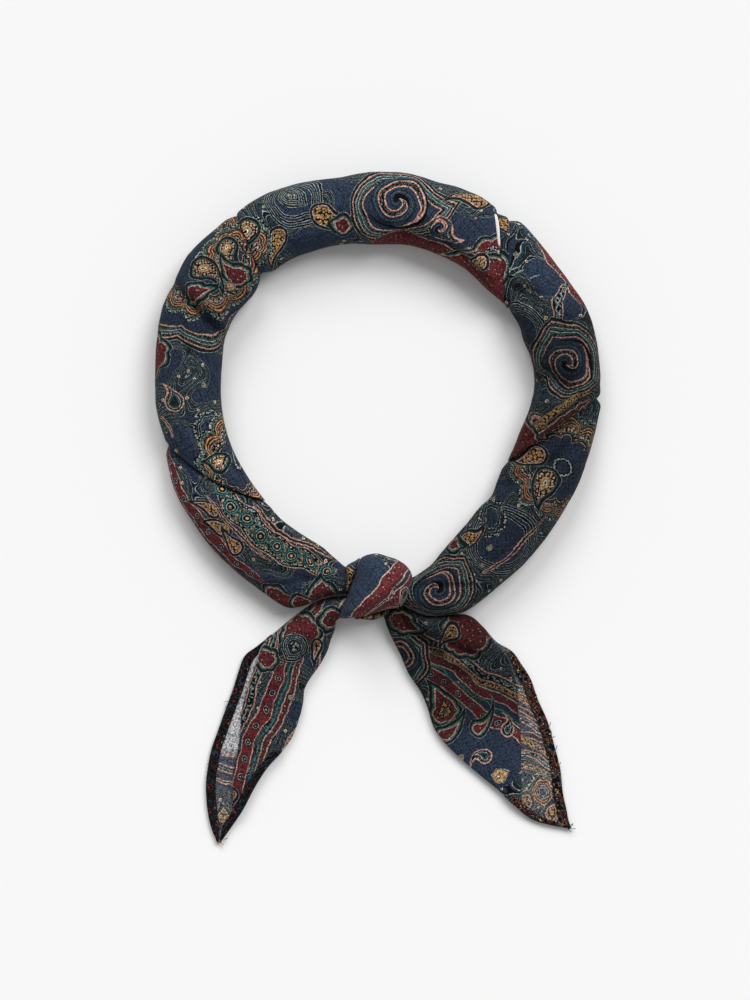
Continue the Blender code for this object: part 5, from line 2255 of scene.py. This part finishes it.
class BANDANA_OT_label(bpy.types.Operator):
    """Add the blank tape label, of which an edge shows in the fold at the upper right"""

    bl_idname = "bandana.add_label"
    bl_label = "Label Tape"
    bl_options = {"REGISTER", "UNDO"}

    def execute(self, context):
        edges = [
            stretch_ring(past_end(TOP_RIGHT_SEAM, UPPER_RIGHT_ROWS[1], past), 1.0, 0.0, [], 0.0)
            for past in (LABEL_FROM, LABEL_TO)
        ]
        inner, outer = (edge[LABEL_POINTS] for edge in edges)
        last = len(inner) - 1

        def place(column, row):
            taper = math.sin(math.pi * (column + 0.5) / (last + 1.0)) ** LABEL_TAPER
            edge = LABEL_LIP + (LABEL_TO - LABEL_LIP) * taper
            past = LABEL_FROM + (edge - LABEL_FROM) * row / LABEL_STEPS
            share = (past - LABEL_FROM) / (LABEL_TO - LABEL_FROM)
            ends = zip(inner[column], outer[column])
            x, y, z, u, v = (here + (there - here) * share for here, there in ends)
            return x, y, z + LABEL_OUT - max(LABEL_LIP - past, 0.0), u, v

        bm = cloth_grid(last + 1, LABEL_STEPS + 1, place)
        face_up(bm)
        material = tape_material(context)
        piece, area = finished("label", bm, TAPE_THICKNESS * MM, material, ["label_tape"])
        length = outline_length([point[:3] for point in inner]) * MM
        declare_cloth(piece, length, area)
        return {"FINISHED"}


class BANDANA_OT_stage(bpy.types.Operator):
    """Add the table, the lights and the camera straight above"""

    bl_idname = "bandana.add_stage"
    bl_label = "Stage"
    bl_options = {"REGISTER", "UNDO"}

    def execute(self, context):
        stage = context.scene.bandana_stage
        bm = bmesh.new()
        bmesh.ops.create_grid(bm, x_segments=1, y_segments=1, size=TABLE_HALF_SIDE)
        mesh = bpy.data.meshes.new("table")
        bm.to_mesh(mesh)
        bm.free()
        mesh.materials.append(table_material(stage))
        table = bpy.data.objects.new("table", mesh)
        context.scene.collection.objects.link(table)

        lights = (("key_light", stage.key_power, KEY_FROM), ("fill_light", stage.fill_power, FILL_FROM))
        for name, power, shines_from in lights:
            light = bpy.data.lights.new(name, "SUN")
            light.energy = power
            light.angle = math.radians(LIGHT_SPREAD)
            lamp = bpy.data.objects.new(name, light)
            lamp.rotation_euler = Vector(shines_from).to_track_quat("Z", "Y").to_euler()
            context.scene.collection.objects.link(lamp)

        world = bpy.data.worlds.new("room")
        world.use_nodes = True
        set_constants(
            world.node_tree.nodes["Background"], Color=(1.0, 1.0, 1.0, 1.0), Strength=stage.world_light
        )
        context.scene.world = world
        context.scene.view_settings.view_transform = "Standard"

        lens = bpy.data.cameras.new("camera")
        lens.sensor_fit = "VERTICAL"
        lens.sensor_height = SENSOR_HEIGHT
        lens.lens = SENSOR_HEIGHT * (stage.camera_height - VIEW_LEVEL * MM) / (VIEW_HEIGHT * MM)
        lens.clip_start = NEAREST_SEEN
        camera = bpy.data.objects.new("camera", lens)
        camera.location = (VIEW_CENTRE[0] * MM, VIEW_CENTRE[1] * MM, stage.camera_height)
        context.scene.collection.objects.link(camera)
        context.scene.camera = camera
        return {"FINISHED"}


class BANDANA_PT_panel(bpy.types.Panel):
    """The bandana's pieces, print and stage"""

    bl_idname = "BANDANA_PT_panel"
    bl_label = "Knotted Bandana"
    bl_space_type = "VIEW_3D"
    bl_region_type = "UI"
    bl_category = "Bandana"

    def draw(self, context):
        layout = self.layout
        for operator in OPERATORS:
            layout.operator(operator.bl_idname)
        scene = context.scene
        for settings in (scene.bandana_print, scene.bandana_cloth, scene.bandana_stage):
            box = layout.box()
            for name in settings.bl_rna.properties.keys():
                if name not in ("rna_type", "name"):
                    box.prop(settings, name)


OPERATORS = (
    BANDANA_OT_band,
    BANDANA_OT_knot,
    BANDANA_OT_left_end,
    BANDANA_OT_right_end,
    BANDANA_OT_label,
    BANDANA_OT_stage,
)
CLASSES = (
    BandanaPrintSettings,
    BandanaClothSettings,
    BandanaStageSettings,
    *OPERATORS,
    BANDANA_PT_panel,
)


def register():
    for cls in CLASSES:
        bpy.utils.register_class(cls)
    bpy.types.Scene.bandana_print = bpy.props.PointerProperty(type=BandanaPrintSettings)
    bpy.types.Scene.bandana_cloth = bpy.props.PointerProperty(type=BandanaClothSettings)
    bpy.types.Scene.bandana_stage = bpy.props.PointerProperty(type=BandanaStageSettings)


def unregister():
    del bpy.types.Scene.bandana_stage
    del bpy.types.Scene.bandana_cloth
    del bpy.types.Scene.bandana_print
    for cls in reversed(CLASSES):
        bpy.utils.unregister_class(cls)


def main():
    register()
    bpy.ops.bandana.add_band()
    bpy.ops.bandana.add_knot()
    bpy.ops.bandana.add_left_end()
    bpy.ops.bandana.add_right_end()
    bpy.ops.bandana.add_label()
    bpy.ops.bandana.add_stage()


if __name__ == "__main__":
    main()
